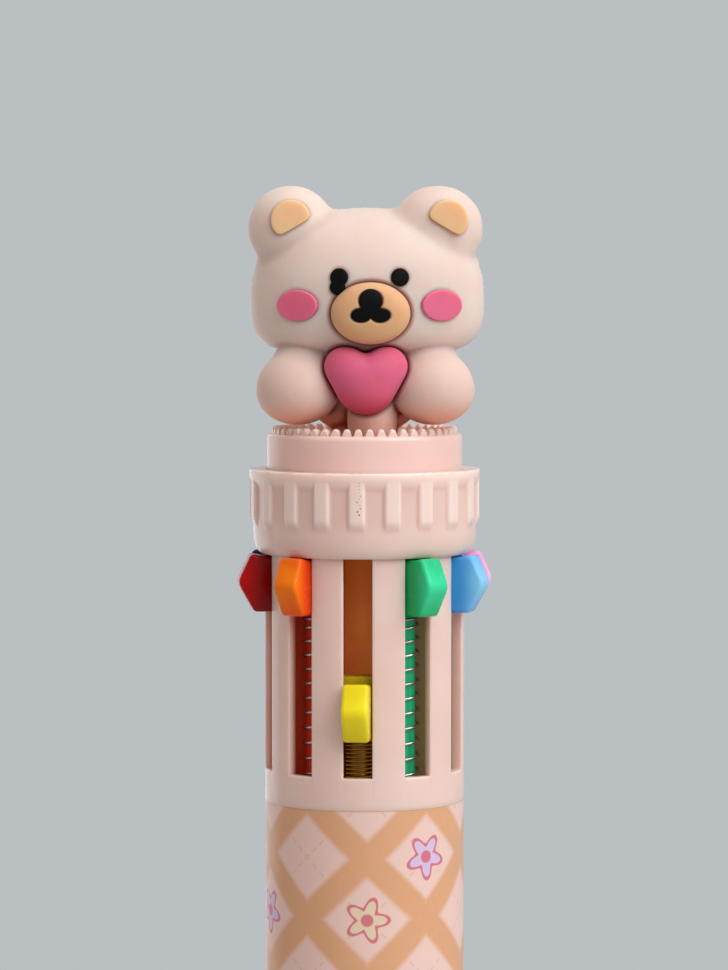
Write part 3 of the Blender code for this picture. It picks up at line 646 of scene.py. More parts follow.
# %% Nose
BARREL_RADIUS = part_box("lower_barrel")[1].x + 0.1 * MM
BARREL_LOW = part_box("lower_barrel")[0].z
BARREL_BORE = BARREL_RADIUS - 0.85 * MM
NOSE_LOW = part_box("nose_cone")[0].z
NOSE_TOP = BARREL_LOW - FIT_GAP
NOSE_HOLE = 1.4 * MM
NOSE_END = 2.5 * MM
NOSE_BULGE = 0.582 * MM
NOSE_STEPS = 24
CONE_RADIUS = BARREL_BORE - 1.0 * MM
CONE_TOP = NOSE_LOW + 15.0 * MM

nose = [(NOSE_HOLE, NOSE_LOW, 0.2 * MM), (NOSE_END, NOSE_LOW, 0.35 * MM)]
for i in range(1, NOSE_STEPS):
    share = i / NOSE_STEPS
    radius = NOSE_END + (BARREL_RADIUS - NOSE_END) * share + NOSE_BULGE * math.sin(math.pi * share)
    nose.append((radius, NOSE_LOW + (NOSE_TOP - NOSE_LOW) * share, 0))
spigot = BARREL_BORE - FIT_GAP
spigot_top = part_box("nose_cone")[1].z
nose += [(BARREL_RADIUS, NOSE_TOP, 0.2 * MM), (spigot, NOSE_TOP, 0), (spigot, spigot_top, 0.15 * MM)]
nose += [(CONE_RADIUS, spigot_top, 0.15 * MM), (CONE_RADIUS, CONE_TOP, 0)]
nose_shell = piece("nose_shell", turned(nose), pink_plastic, "housing", ["nose_cone"], "pink_shell")
print("nose faces:", len(nose_shell.data.polygons))

# %% [markdown]
# ## The print on the barrel
# The barrel carries a traditional argyle: tan bands on two slants that leave pale diamonds, with a thin
# dashed line through the diamonds. Five diamonds go round. An angle from the front and a height give
# two slanted counters p and q, and the bands lie where either is near a whole number. Scattered
# five-petal flowers, plain and drawn from a cosine, fill some of the diamonds.

# %% Printed plastic
ARGYLE_TURN = 2 * math.pi / 5
ARGYLE_RISE = 9.7 * MM
ARGYLE_ANGLE = math.radians(1.4)
ARGYLE_HEIGHT = 110.7 * MM
BAND_HALF = 0.15
BAND_SOFT = 0.09
LINE_HALF = 0.011
DASH = 0.13
PRINT_TAN = rgb(224, 171, 131)
PRINT_PALE = rgb(238, 207, 198)
FLOWER_ROSE = rgb(216, 108, 126)
FLOWER_CREAM = rgb(232, 212, 186)
FLOWER_LILAC = rgb(216, 198, 230)
PETAL_REACH = 1.5 * MM
PETAL_WAVE = 0.42 * MM
PETALS = 5.0
PETAL_TURN = 1.3
PETAL_SOFT = 0.14 * MM
OUTLINE_HALF = 0.16 * MM
OUTLINE_SOFT = 0.12 * MM
FLOWER_HEART = 0.5 * MM


def dashed(across, along):
    """1 on a thin dashed line, where the counter across it is 0."""
    dashes = 1 - abs((along / DASH + 0.5) % 1.0 - 0.5).rises(0.3, 0.1)
    return (1 - abs(across).rises(LINE_HALF, LINE_HALF)) * dashes


def printed_pink():
    """The barrel's plastic, with its argyle and flowers."""
    finish = Finish("printed_pink_plastic", Specular_IOR_Level=0.3, Subsurface_Weight=0.15,
                    Subsurface_Radius=(1.0, 0.4, 0.25), Subsurface_Scale=0.8 * MM)
    angle, _, z = finish.around()
    across = (angle - ARGYLE_ANGLE) / ARGYLE_TURN
    up = (z - ARGYLE_HEIGHT) / ARGYLE_RISE
    p = across + up
    q = across - up
    from_p = (p % 1.0) - 0.5
    from_q = (q % 1.0) - 0.5
    edge = abs(from_p).maths("MAXIMUM", abs(from_q))
    bands = edge.rises(0.5 - BAND_HALF, BAND_SOFT)
    lines = dashed(from_p, from_q).maths("MAXIMUM", dashed(from_q, from_p))

    row = p.maths("FLOOR")
    column = q.maths("FLOOR")
    pick = (row + column * 3.0 + 1.0) % 5.0
    flowered = pick < 1.5
    side = (from_p + from_q) * (0.5 * ARGYLE_TURN * BARREL_RADIUS)
    rise = (from_p - from_q) * (0.5 * ARGYLE_RISE)
    reach = (side * side + rise * rise) ** 0.5
    swing = rise.maths("ARCTAN2", side) * PETALS + pick * PETAL_TURN
    inside = reach - (PETAL_REACH + swing.maths("COSINE") * PETAL_WAVE)
    flower = (1 - inside.rises(0, PETAL_SOFT)) * flowered
    outline = (1 - abs(inside + OUTLINE_HALF).rises(OUTLINE_HALF, OUTLINE_SOFT)) * flowered
    heart = (1 - reach.rises(FLOWER_HEART, PETAL_SOFT)) * flowered

    ink = 0.86 + finish.cloud(0.5 * MM, 4.0) * 0.28
    colour = finish.mixed(PRINT_PALE, SHELL_WARM, finish.patches(4 * MM) * 0.6)
    colour = finish.mixed(colour, PRINT_TAN, (lines * 0.4 * ink).maths("MINIMUM", 1.0))
    colour = finish.mixed(colour, PRINT_TAN, (bands * ink).maths("MINIMUM", 1.0))
    petals = finish.mixed(FLOWER_CREAM, FLOWER_LILAC, pick > 0.5)
    colour = finish.mixed(colour, petals, flower)
    colour = finish.mixed(colour, FLOWER_ROSE, outline.maths("MAXIMUM", heart) * 0.9)
    rubbed = finish.cloud(2.2 * MM, 4.0).rises(0.55, 0.35)
    grain = finish.cloud(0.16 * MM) * 0.4 + bands * 0.8
    return finish.feed(colour, 0.32 + rubbed * 0.12 - bands * 0.04, grain, 0.006 * MM)


printed_plastic = printed_pink()
print("finish:", printed_plastic.name)

# %% Lower barrel
barrel = [(BARREL_BORE, BARREL_LOW, 0.1 * MM), (BARREL_RADIUS, BARREL_LOW, 0.22 * MM)]
barrel += [(BARREL_RADIUS, BARREL_TOP, 0.01 * MM), (BARREL_BORE, BARREL_TOP, 0.1 * MM)]
piece("barrel_tube", turned(barrel), printed_plastic, "housing", ["lower_barrel"], "printed_shell")
print("barrel length in mm:", round((BARREL_TOP - BARREL_LOW) / MM, 1))

# %% [markdown]
# ## The slotted sleeve
# Ten fingers stand on a floor, and the slots between them guide the buttons. Cutting slots from a tube
# with a Boolean leaves hard edges, so one finger is drawn as a bar with rounded corners instead, whose
# two sides are parallel to the slots beside it, and the ring tree sets ten of them round the floor. Behind
# each finger a thin web parts one spring's channel from the next.

# %% Slotted sleeve
STEP = 2 * math.pi / STATIONS
SLOT_WIDTH = 2 * SLEEVE_RADIUS * math.sin(STEP / 2) - 2.68 * MM
SLEEVE_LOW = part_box("slotted_sleeve")[0].z
FINGER_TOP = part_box("slotted_sleeve")[1].z
SHOULDER = BARREL_TOP - 0.01 * MM
SLOT_BOTTOM = BARREL_TOP + 2.6 * MM
CORE_SOCKET = 2.1 * MM
GUIDE_RING = 5.33 * MM
GUIDE_RADIUS = 1.352 * MM
PLUG_RADIUS = BARREL_BORE - FIT_GAP
CAP_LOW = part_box("toothed_cap")[0].z
WEB_INNER = 4.35 * MM
WEB_HALF = 0.1 * MM
FINGER_STEPS = 10


def finger():
    """A bar on +X between two slots, rounded along its edges. It reaches into the sill below."""
    corners = []
    for radius, bend in ((SLEEVE_RADIUS + 0.003 * MM, 0.2 * MM), (SLEEVE_BORE, 0.12 * MM)):
        half = STEP / 2 - math.asin(SLOT_WIDTH / 2 / radius)
        arc = [half * (2 * k / FINGER_STEPS - 1) for k in range(FINGER_STEPS + 1)]
        for angle in arc if radius > SLEEVE_BORE else arc[::-1]:
            ease = bend if angle in (arc[0], arc[-1]) else 0
            corners.append((radius * math.cos(angle), radius * math.sin(angle), ease))
    outline = rounded(corners, steps=4)
    levels = (SLOT_BOTTOM - 1.2 * MM, SLOT_BOTTOM + 0.1 * MM, FINGER_TOP - 0.1 * MM, FINGER_TOP)
    return lofted([[(point.x, point.y, level) for point in outline] for level in levels])


web = block((WEB_INNER, -WEB_HALF, SPRING_SEAT - 0.2 * MM),
            (SLEEVE_BORE + 0.3 * MM, WEB_HALF, CAP_LOW - FIT_GAP))
sill = [(CORE_SOCKET, SLEEVE_LOW, 0), (PLUG_RADIUS, SLEEVE_LOW, 0.2 * MM)]
sill += [(PLUG_RADIUS, SHOULDER, 0), (SLEEVE_RADIUS, SHOULDER, 0.03 * MM)]
sill += [(SLEEVE_RADIUS, SLOT_BOTTOM, 0.14 * MM), (SLEEVE_BORE, SLOT_BOTTOM, 0.14 * MM)]
sill += [(SLEEVE_BORE, SPRING_SEAT, 0.2 * MM), (CORE_SOCKET, SPRING_SEAT, 0)]
drill = lofted([circle(GUIDE_RADIUS, level, sides=24) for level in (SLEEVE_LOW - MM, SPRING_SEAT + MM)])
drill.transform(Matrix.Translation((GUIDE_RING, 0, 0)))
sleeve = ringed(turned(sill), ring_cut, drill, STATIONS, FIRST_ANGLE, pink_plastic)
for feature in (finger(), web):
    sleeve = ringed(sleeve, ring_of, feature, STATIONS, FIRST_ANGLE + STEP / 2, pink_plastic)
piece("sleeve_cage", sleeve, pink_plastic, "housing", ["slotted_sleeve"], "pink_shell")
print("slot width in mm:", round(SLOT_WIDTH / MM, 2), "faces:", len(sleeve.polygons))

# %% [markdown]
# ## The collar
# The collar is the grip ring above the buttons. Twenty ribs hang from its thin rim, and they flow out of
# the wall with soft edges and soft lower ends. Bars set on the wall would look stuck on, so a tree
# pushes the wall itself outwards: the angle gives the distance to the nearest rib's middle, and two soft
# steps, across the rib and up its length, give how far each point moves.

# %% Rib tree
def rib_tree():
    """A tree that pushes a wall of some radius outwards in soft upright ribs."""
    sizes = dict.fromkeys(("First Turn", "Width", "Rise", "Low", "Soft", "Fade", "Radius"), "Float")
    inputs = {"Geometry": "Geometry", "Count": "Int", **sizes, "Finish": "Material"}
    tree, sheet, given = node_group("soft_ribs", inputs)
    split = sheet.node("ShaderNodeSeparateXYZ", {}, {"Vector": sheet.node("GeometryNodeInputPosition")})
    x, y, z = split, split.also("Y"), split.also("Z")
    radius = (x * x + y * y) ** 0.5
    turns = (y.maths("ARCTAN2", x) - given["First Turn"]) / (2 * math.pi)
    off = abs((turns * given["Count"] + 0.5) % 1.0 - 0.5) * (2 * math.pi * given["Radius"] / given["Count"])
    across = 1 - off.rises(given["Width"] / 2, given["Soft"])
    out = given["Radius"] + given["Rise"] * across * z.rises(given["Low"], given["Fade"])
    on_wall = radius > given["Radius"] - 0.01 * MM
    grown = 1 + on_wall * (radius.maths("MAXIMUM", out) / radius - 1)
    moved = sheet.node("ShaderNodeCombineXYZ", {}, {"X": x * grown, "Y": y * grown, "Z": z})
    wall = sheet.node("GeometryNodeSetPosition", {}, {"Geometry": given["Geometry"], "Position": moved})
    finished(sheet, wall, given["Finish"])
    return tree


ribs_on = rib_tree()
print("tree:", ribs_on.name)

# %% Collar
COLLAR_BORE = SLEEVE_RADIUS + FIT_GAP
CROWN_RADIUS = SLEEVE_RADIUS - 0.18 * MM
RIM_LOW = COLLAR_TOP - 0.4 * MM
RIM_EASE = 1.2 * MM
LIP_LOW = COLLAR_TOP - 0.9 * MM
FOOT_IN = 0.72 * MM
FOOT_RISE = 1.9 * MM
LIP_BORE = CROWN_RADIUS + FIT_GAP
EASE_STEPS = 12
COLLAR_SIDES = 600
RIBS = {
    "Count": 20, "First Turn": FRONT + FIRST_ANGLE, "Width": 1.28 * MM, "Soft": 0.3 * MM, "Low": RIB_LOW,
    "Fade": 1.0 * MM, "Rise": RIM_RADIUS - COLLAR_RADIUS - 0.04 * MM, "Radius": COLLAR_RADIUS,
    "Finish": pink_plastic,
}

collar = [(COLLAR_BORE, COLLAR_LOW, 0)]
for k in range(EASE_STEPS + 1):
    turn = math.pi / 2 * k / EASE_STEPS
    out = COLLAR_RADIUS - FOOT_IN * (1 - math.sin(turn))
    collar.append((out, COLLAR_LOW + FOOT_RISE * (1 - math.cos(turn)), 0))
collar += [(COLLAR_RADIUS, RIB_LOW + 0.1 * MM * k, 0) for k in range(-5, 7)]
collar.append((COLLAR_RADIUS, RIB_LOW + 1.5 * MM, 0))
for k in range(EASE_STEPS + 1):
    share = k / EASE_STEPS
    out = (RIM_RADIUS - COLLAR_RADIUS) * share**2 * (3 - 2 * share)
    collar.append((COLLAR_RADIUS + out, RIM_LOW - RIM_EASE * (1 - share), 0))
collar += [(RIM_RADIUS, COLLAR_TOP, 0.22 * MM), (LIP_BORE, COLLAR_TOP, 0.1 * MM)]
collar += [(LIP_BORE, LIP_LOW, 0), (COLLAR_BORE, LIP_LOW, 0)]
grip = baked(turned(collar, COLLAR_SIDES), ribs_on, RIBS)
piece("grip_collar", grip, pink_plastic, "housing", ["ribbed_collar"], "pink_shell", sharp=50)
print("collar faces:", len(grip.polygons))

# %% [markdown]
# ## The crown
# Inside the collar stands the crown, a ring with fifty round-topped teeth that holds the bear's stem. A
# tooth is skinned from rings that shrink at both ends, so its top is rounded in both directions. The teeth
# stand a little inside the wall, behind its rounded lip.

# %% Crown
TOOTH_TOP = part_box("toothed_cap")[1].z
TEETH = 50
TOOTH_HEIGHT = 0.57 * MM
TOOTH_HALF = 0.34 * MM
TOOTH_INSET = 0.42 * MM
TOOTH_STEPS = 4
# From each end of a tooth, how far in a ring lies and its share of the height
TOOTH_ENDS = ((0.0, 0.72), (0.1 * MM, 0.95), (0.22 * MM, 1.0))
CROWN_TOP = TOOTH_TOP - TOOTH_HEIGHT
TOOTH_ROOT = CROWN_TOP - 0.3 * MM
CROWN_BORE = CROWN_RADIUS - 1.1 * MM
CAP_FLOOR = COLLAR_TOP + 0.7 * MM
HUB_BORE = 1.6 * MM
HUB_RADIUS = 2.8 * MM
SKIRT = SLEEVE_BORE - FIT_GAP
SKIRT_BORE = SKIRT - 0.85 * MM


def tooth():
    """A round-topped tooth on +X, eased at its two ends."""
    outer = CROWN_RADIUS - TOOTH_INSET
    stops = [(CROWN_BORE + inset, share) for inset, share in TOOTH_ENDS]
    stops += [(outer - inset, share) for inset, share in TOOTH_ENDS[::-1]]
    rings = []
    for radius, share in stops:
        ring = [(radius, -TOOTH_HALF, TOOTH_ROOT)]
        for k in range(-TOOTH_STEPS, TOOTH_STEPS + 1):
            side = k / TOOTH_STEPS
            height = TOOTH_HEIGHT * share * (1 - abs(side) ** 2.6) ** 0.6
            ring.append((radius, side * TOOTH_HALF, CROWN_TOP + height))
        rings.append(ring + [(radius, TOOTH_HALF, TOOTH_ROOT)])
    return lofted(rings)


crown = [(HUB_BORE, CAP_LOW + FIT_GAP, 0), (HUB_RADIUS, CAP_LOW + FIT_GAP, 0.1 * MM)]
crown += [(HUB_RADIUS, COLLAR_TOP, 0.3 * MM), (SKIRT_BORE, COLLAR_TOP, 0.3 * MM)]
crown += [(SKIRT_BORE, CAP_LOW, 0.1 * MM), (SKIRT, CAP_LOW, 0.1 * MM), (SKIRT, LIP_LOW, 0)]
crown += [(CROWN_RADIUS, LIP_LOW, 0), (CROWN_RADIUS, CROWN_TOP, 0.36 * MM)]
crown += [(CROWN_BORE, CROWN_TOP, 0.12 * MM), (CROWN_BORE, CAP_FLOOR, 0.3 * MM)]
crown.append((HUB_BORE, CAP_FLOOR, 0.1 * MM))
cap = ringed(turned(crown, sides=200), ring_of, tooth(), TEETH, FIRST_ANGLE, pink_plastic)
piece("crown_cap", cap, pink_plastic, "housing", ["toothed_cap"], "pink_shell")
print("crown faces:", len(cap.polygons))

# %% [markdown]
# ## The latch core
# Inside the sleeve a post runs from the floor to the cap's hub. A clicked button's catch sits under its
# ledge. It only shows through the slots, in shadow, so a turned post with soft edges is enough.

# %% Latch core
CORE_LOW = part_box("latch_core")[0].z
CORE_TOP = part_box("latch_core")[1].z
CORE_RADIUS = 3.33 * MM
LEDGE_RADIUS = 3.73 * MM
BUTTON_UP = COLLAR_LOW - 4.57 * MM
TRAVEL = 9.8 * MM
LEDGE = BUTTON_UP - TRAVEL + 1.6 * MM
CORE_HOLE = 0.3 * MM
CORE_FOOT = 2.0 * MM
CORE_PIN = 1.5 * MM
PIN_LOW = CORE_TOP - 1.6 * MM
FOOT_TOP = SPRING_SEAT + FIT_GAP

core = [(CORE_HOLE, CORE_LOW, 0), (CORE_FOOT, CORE_LOW, 0.2 * MM), (CORE_FOOT, FOOT_TOP, 0)]
core += [(CORE_RADIUS, FOOT_TOP, 0.1 * MM), (CORE_RADIUS, LEDGE, 0)]
core += [(LEDGE_RADIUS, LEDGE, 0.1 * MM), (LEDGE_RADIUS, LEDGE + 1.2 * MM, 0.2 * MM)]
core += [(CORE_RADIUS, LEDGE + 1.6 * MM, 0.2 * MM), (CORE_RADIUS, PIN_LOW, 0.1 * MM)]
core += [(CORE_PIN, PIN_LOW, 0), (CORE_PIN, CORE_TOP, 0.15 * MM), (CORE_HOLE, CORE_TOP, 0)]


def amber_shaded_plastic():
    """Painted amber shade, darker at the top, with a faint painted glow for light through the sleeve."""
    finish = Finish("amber_shaded_core", Specular_IOR_Level=0.2, Emission_Color=rgb(255, 128, 48),
                    Emission_Strength=0.12)
    tone = finish.mixed(rgb(242, 162, 94), rgb(228, 144, 78), finish.patches(2 * MM, 3.0))
    # Painted shade: darker towards the top, under the collar.
    height = finish.axes()[2]
    tone = finish.mixed(tone, rgb(206, 100, 40), height.rises(COLLAR_LOW - 3.5 * MM, 7 * MM))
    return finish.feed(tone, 0.34 + finish.cloud(0.9 * MM) * 0.14, finish.cloud(0.2 * MM), 0.005 * MM)


piece("core_post", turned(core, sides=72), amber_shaded_plastic(), "housing", ["latch_core"], "pink_shell")
print("core top in mm:", round(CORE_TOP / MM, 2))

# %% [markdown]
# ## Buttons
# Each colour has a glossy knob with five sides in profile: it slopes out from the top to a blunt edge
# and back in below. Behind the slot it widens to a block, with a catch and a peg that carries the
# refill. The knob's edges are rounded just enough to catch the light. There is play in the slots, so
# some knobs lean a few degrees to one side.

# %% Button finish
INKS = {
    "yellow": (248, 234, 40), "orange": (255, 136, 6), "red": (196, 0, 0), "blue": (52, 34, 140),
    "black": (32, 32, 35), "brown": (124, 66, 28), "purple": (134, 70, 188), "pink": (250, 194, 234),
    "sky": (142, 212, 255), "green": (62, 222, 164),
}


def deepened(ink):
    """The ink's deeper colour, painted as shade for thicker plastic; blotches and dust use it too."""
    return tuple(0.9 * channel * (channel / 255) ** 1.1 for channel in ink)


def glossy_colour(colour):
    """Translucent gloss: light at the tip, painted shade towards the sleeve, orange-peel skin and dust."""
    finish = Finish("button_" + colour, Specular_IOR_Level=0.2, Subsurface_Weight=0.3,
                    Subsurface_Radius=(1.0, 1.0, 1.0), Subsurface_Scale=0.7 * MM)
    ink = INKS[colour]
    deep = rgb(*deepened(ink))
    shaded = rgb(*(0.8 * channel for channel in deepened(ink)))
    out = finish.around()[1]
    # Painted shade: deeper from the tip towards the sleeve, and darkest inside it.
    tone = finish.mixed(deep, rgb(*ink), out.rises(SLEEVE_RADIUS + 1.4 * MM, 2.2 * MM))
    tone = finish.mixed(shaded, tone, out.rises(SLEEVE_BORE + 0.2 * MM, 0.6 * MM))
    tone = finish.mixed(tone, deep, finish.patches(1.6 * MM) * 0.2)
    dust = finish.specks(spread=0.9 * MM, size=0.04 * MM, share=0.08)
    tone = finish.mixed(tone, deep, dust)
    scuffs = finish.cloud(0.7 * MM, 4.0).rises(0.6, 0.3)
    skin = finish.cloud(0.35 * MM) + dust
    return finish.feed(tone, 0.22 + scuffs * 0.1, skin, 0.005 * MM)


button_looks = {colour: glossy_colour(colour) for colour in COLOURS}
print("button finishes:", len(button_looks))

# %% Button mesh
KNOB_HEIGHT = 4.47 * MM
KNOB_WIDTH = SLOT_WIDTH - 0.18 * MM
KNOB_EASE = 0.3 * MM
KNOB_RINGS = 5
BLOCK_HALF = SLOT_WIDTH / 2 + 0.2 * MM
BLOCK_OUTER = math.sqrt((SLEEVE_BORE - FIT_GAP) ** 2 - BLOCK_HALF**2)
BLOCK_INNER = BLOCK_OUTER - 2.3 * MM
BLOCK_TOP = 5.0 * MM
KNOB_ROOT = (BLOCK_INNER + BLOCK_OUTER) / 2
KNOB_EDGE = SLEEVE_RADIUS + 2.46 * MM
KNOB_EDGE_RISE = 2.38 * MM
KNOB_BROW = SLEEVE_RADIUS + 1.38 * MM
KNOB_BROW_RISE = KNOB_HEIGHT + 0.2 * MM
CATCH_TIP = LEDGE_RADIUS + 0.09 * MM
CATCH_HALF = 0.8 * MM
STATION_RING = SLEEVE_BORE - 1.72 * MM
PEG_RADIUS = 0.602 * MM
LEANS = {"yellow": -2.5, "orange": 8.0, "green": 9.0, "sky": 4.0, "red": -6.0, "brown": 3.0, "purple": -4.0}


def knob():
    """The five-sided knob with rounded corners, skinned from side to side with eased edges."""
    corners = [(KNOB_ROOT, 0, 0), (SLEEVE_RADIUS + 1.12 * MM, 0, 0.4 * MM)]
    corners += [(KNOB_EDGE, KNOB_EDGE_RISE, 1.0 * MM), (KNOB_BROW, KNOB_BROW_RISE, 0.4 * MM)]
    corners += [(SLEEVE_RADIUS + 0.5 * MM, KNOB_HEIGHT, 0), (KNOB_ROOT, KNOB_HEIGHT, 0)]
    outline = rounded(corners, steps=8)
    middle = Vector((SLEEVE_RADIUS, KNOB_HEIGHT / 2))
    rings = []
    for k in range(-KNOB_RINGS, KNOB_RINGS + 1):
        angle = math.pi / 2 * (1 - (abs(k) - 1) / (KNOB_RINGS - 1)) if k else math.pi / 2
        share = 1 - KNOB_EASE * (1 - math.sin(angle)) / (KNOB_HEIGHT / 2)
        y = math.copysign(KNOB_WIDTH / 2 - KNOB_EASE * (1 - math.cos(angle)), k) if k else 0.0
        points = [middle + (point - middle) * share for point in outline]
        rings.append([(point.x, y, point.y) for point in points])
    return lofted(rings)


def click_button(lean):
    """A button on +X with its underside at height 0, its knob turned about the slot by this angle."""
    slide = block((BLOCK_INNER, -BLOCK_HALF, 0), (BLOCK_OUTER, BLOCK_HALF, BLOCK_TOP))
    slide = softened(slide, 0.12 * MM)
    catch = block((CATCH_TIP, -CATCH_HALF, 0.3 * MM), (KNOB_ROOT, CATCH_HALF, 1.5 * MM))
    catch = softened(catch, 0.1 * MM)
    levels = ((PEG_RADIUS - 0.15 * MM, -3.0 * MM), (PEG_RADIUS, -2.8 * MM), (PEG_RADIUS, KNOB_HEIGHT / 2))
    peg = lofted([circle(radius, level, sides=20) for radius, level in levels])
    peg.transform(Matrix.Translation((STATION_RING, 0, 0)))
    pivot = Matrix.Translation((SLEEVE_RADIUS - 0.4 * MM, 0, 0))
    leaning = knob()
    leaning.transform(pivot @ Matrix.Rotation(lean, 4, "Z") @ pivot.inverted())
    return joined(leaning, slide, catch, peg)


def station(colour):
    """The turn of a colour's station about the axis, and how far its button is down at rest."""
    turn = Matrix.Rotation(FRONT + FIRST_ANGLE - STEP * COLOURS.index(colour), 4, "Z")
    return turn, TRAVEL if colour == "yellow" else 0.0


for colour in COLOURS:
    turn, down = station(colour)
    button = click_button(math.radians(LEANS.get(colour, 0.0)))
    button.transform(turn @ Matrix.Translation((0, 0, BUTTON_UP - down)))
    look = button_looks[colour]
    piece("knob_" + colour, button, look, colour + "_button", ["button_" + colour], "button_" + colour)
print("buttons:", len(COLOURS))

# %% [markdown]
# ## Refills
# A refill is a thin plastic tube full of ink, pushed on the button's peg, with a stepped metal tip and a
# ball. Below the floor the tube bows in towards the nose. A skin over rings whose centres follow that
# bow makes the tube, and the tip is a second skin of metal on the same path.

# %% Refill finishes
# Tube colours darker than their inks: partly the ink's own colour in a tube, partly painted shade.
TUBE_INKS_AND_SHADE = {
    "yellow": (216, 150, 40), "orange": (180, 40, 20), "red": (196, 36, 16), "sky": (84, 104, 110),
    "green": (25, 171, 114),
}
PAINTED_TUBE_GLOW = 0.2
STREAK_SCALE = 2200.0
STREAK_STRETCH = (1.0, 1.0, 0.06)


def inked_tube(colour):
    """Ink behind a thin clear wall: streaks along the tube, light that goes through it, and a clear coat."""
    ink = TUBE_INKS_AND_SHADE.get(colour, [0.84 * channel for channel in INKS[colour]])
    # The emission is a painted glow for the light through the tube.
    finish = Finish("ink_" + colour, Specular_IOR_Level=0.25, Coat_Weight=0.1, Coat_Roughness=0.1,
                    Emission_Color=rgb(*ink), Emission_Strength=PAINTED_TUBE_GLOW)
    drawn = finish.node("ShaderNodeMapping", {}, {"Vector": finish.place, "Scale": STREAK_STRETCH})
    streaks = finish.node("ShaderNodeTexNoise", {}, {"Vector": drawn, "Scale": STREAK_SCALE, "Detail": 3.0})
    tone = finish.mixed(rgb(*ink), rgb(*(0.72 * channel for channel in ink)), streaks.rises(0.5, 0.5))
    return finish.feed(tone, 0.28 + finish.cloud(0.8 * MM, 3.0) * 0.12, finish.cloud(0.3 * MM), 0.004 * MM)


def bright_metal(name, light, dark, roughness):
    """Drawn or turned metal with fine scratches and dull patches."""
    finish = Finish(name, Metallic=1.0)
    dull = finish.patches(1.2 * MM, 4.0)
    tone = finish.mixed(light, dark, dull)
    return finish.feed(tone, roughness + dull * 0.14, finish.cloud(0.08 * MM), 0.004 * MM)


ink_looks = {colour: inked_tube(colour) for colour in COLOURS}
tip_metal = bright_metal("tip_metal", rgb(214, 206, 190), rgb(186, 176, 158), roughness=0.2)
print("ink finishes:", len(ink_looks))

# %% Refill meshes
TUBE_RADIUS = 1.102 * MM
TUBE_BORE = 0.752 * MM
TUBE_TOP = -0.1 * MM
TUBE_STEPS = 24
MOUTH_LOW = -3.2 * MM
TIP_RING = 3.221 * MM
TIP_LENGTH = 12.0 * MM
REFILL_DROP = BUTTON_UP - TRAVEL
BEND_TOP = SLEEVE_LOW - BUTTON_UP
BEND_LENGTH = REFILL_DROP + BEND_TOP
REFILL_LEAN = math.asin(TIP_RING / REFILL_DROP)
TIP_LOW = -REFILL_DROP
TUBE_LOW = TIP_LOW + TIP_LENGTH


def bowed(profile, sides=24):
    """A skin over (radius, height) rings whose centres follow the refill's bow."""
    rings = []
    for radius, height in profile:
        share = max(0.0, (BEND_TOP - height) / BEND_LENGTH)
        aside = (TIP_RING - STATION_RING) * share**2
        rings.append([(x + aside, y, z) for x, y, z in circle(radius, height, sides)])
    return lofted(rings)


def ink_tube():
    """The tube, with a mouth at its top for the button's peg."""
    profile = [(TUBE_RADIUS - 0.12 * MM, TUBE_LOW), (TUBE_RADIUS, TUBE_LOW + 0.15 * MM)]
    for k in range(1, TUBE_STEPS + 1):
        profile.append((TUBE_RADIUS, TUBE_LOW + (BEND_TOP - TUBE_LOW) * k / TUBE_STEPS))
    profile += [(TUBE_RADIUS, TUBE_TOP - 0.1 * MM), (TUBE_RADIUS - 0.1 * MM, TUBE_TOP)]
    profile += [(TUBE_BORE, TUBE_TOP), (TUBE_BORE, MOUTH_LOW)]
    return bowed(profile)


def writing_tip():
    """Ball, point, shoulder and a long taper with one turned groove below the tube."""
    profile = []
    for turn in (0.35, 0.7, 1.05, 1.4):
        profile.append((0.35 * MM * math.sin(turn), TIP_LOW + 0.3 * MM * (1 - math.cos(turn))))
    for radius, height in ((0.38, 0.34), (0.45, 2.2), (0.72, 2.6), (0.75, 2.7)):
        profile.append((radius * MM, TIP_LOW + height * MM))
    for radius, height in ((1.02, -1.2), (0.92, -1.1), (0.92, -0.8), (1.04, -0.7), (1.06, -0.02), (0.7, 0.6)):
        profile.append((radius * MM, TUBE_LOW + height * MM))
    return bowed(profile)


for colour in COLOURS:
    turn, down = station(colour)
    hang = turn @ Matrix.Translation((STATION_RING, 0, BUTTON_UP - down))
    if down:
        hang = hang @ Matrix.Rotation(REFILL_LEAN, 4, "Y")
    tube, tip = ink_tube(), writing_tip()
    for mesh in (tube, tip):
        mesh.transform(hang)
    look = ink_looks[colour]
    piece("tube_" + colour, tube, look, colour + "_refill", ["refill_" + colour], "ink_" + colour)
    piece("tip_" + colour, tip, tip_metal, colour + "_refill")
print("refills:", len(COLOURS))

# %% [markdown]
# ## Return springs
# A coil spring under each button pushes it up again. A coil follows a rule, so Geometry Nodes draw it: a
# line is cut into many points, each point is moved onto a helix that climbs slowly in the first and last
# turn, and a small circle is swept along it. Nine springs are drawn at full length on the housing, and the
# clicked one is drawn shorter, between the floor and its button. Its steel is painted darker and browner
# as shade under its button.

# %% Coil tree
WIRE = 0.115 * MM
COIL_RADIUS = 1.362 * MM
COIL_TURNS = 13.5
END_PITCH = 0.33 * MM
SAG = 0.1
POINTS_PER_TURN = 24
WIRE_SIDES = 10


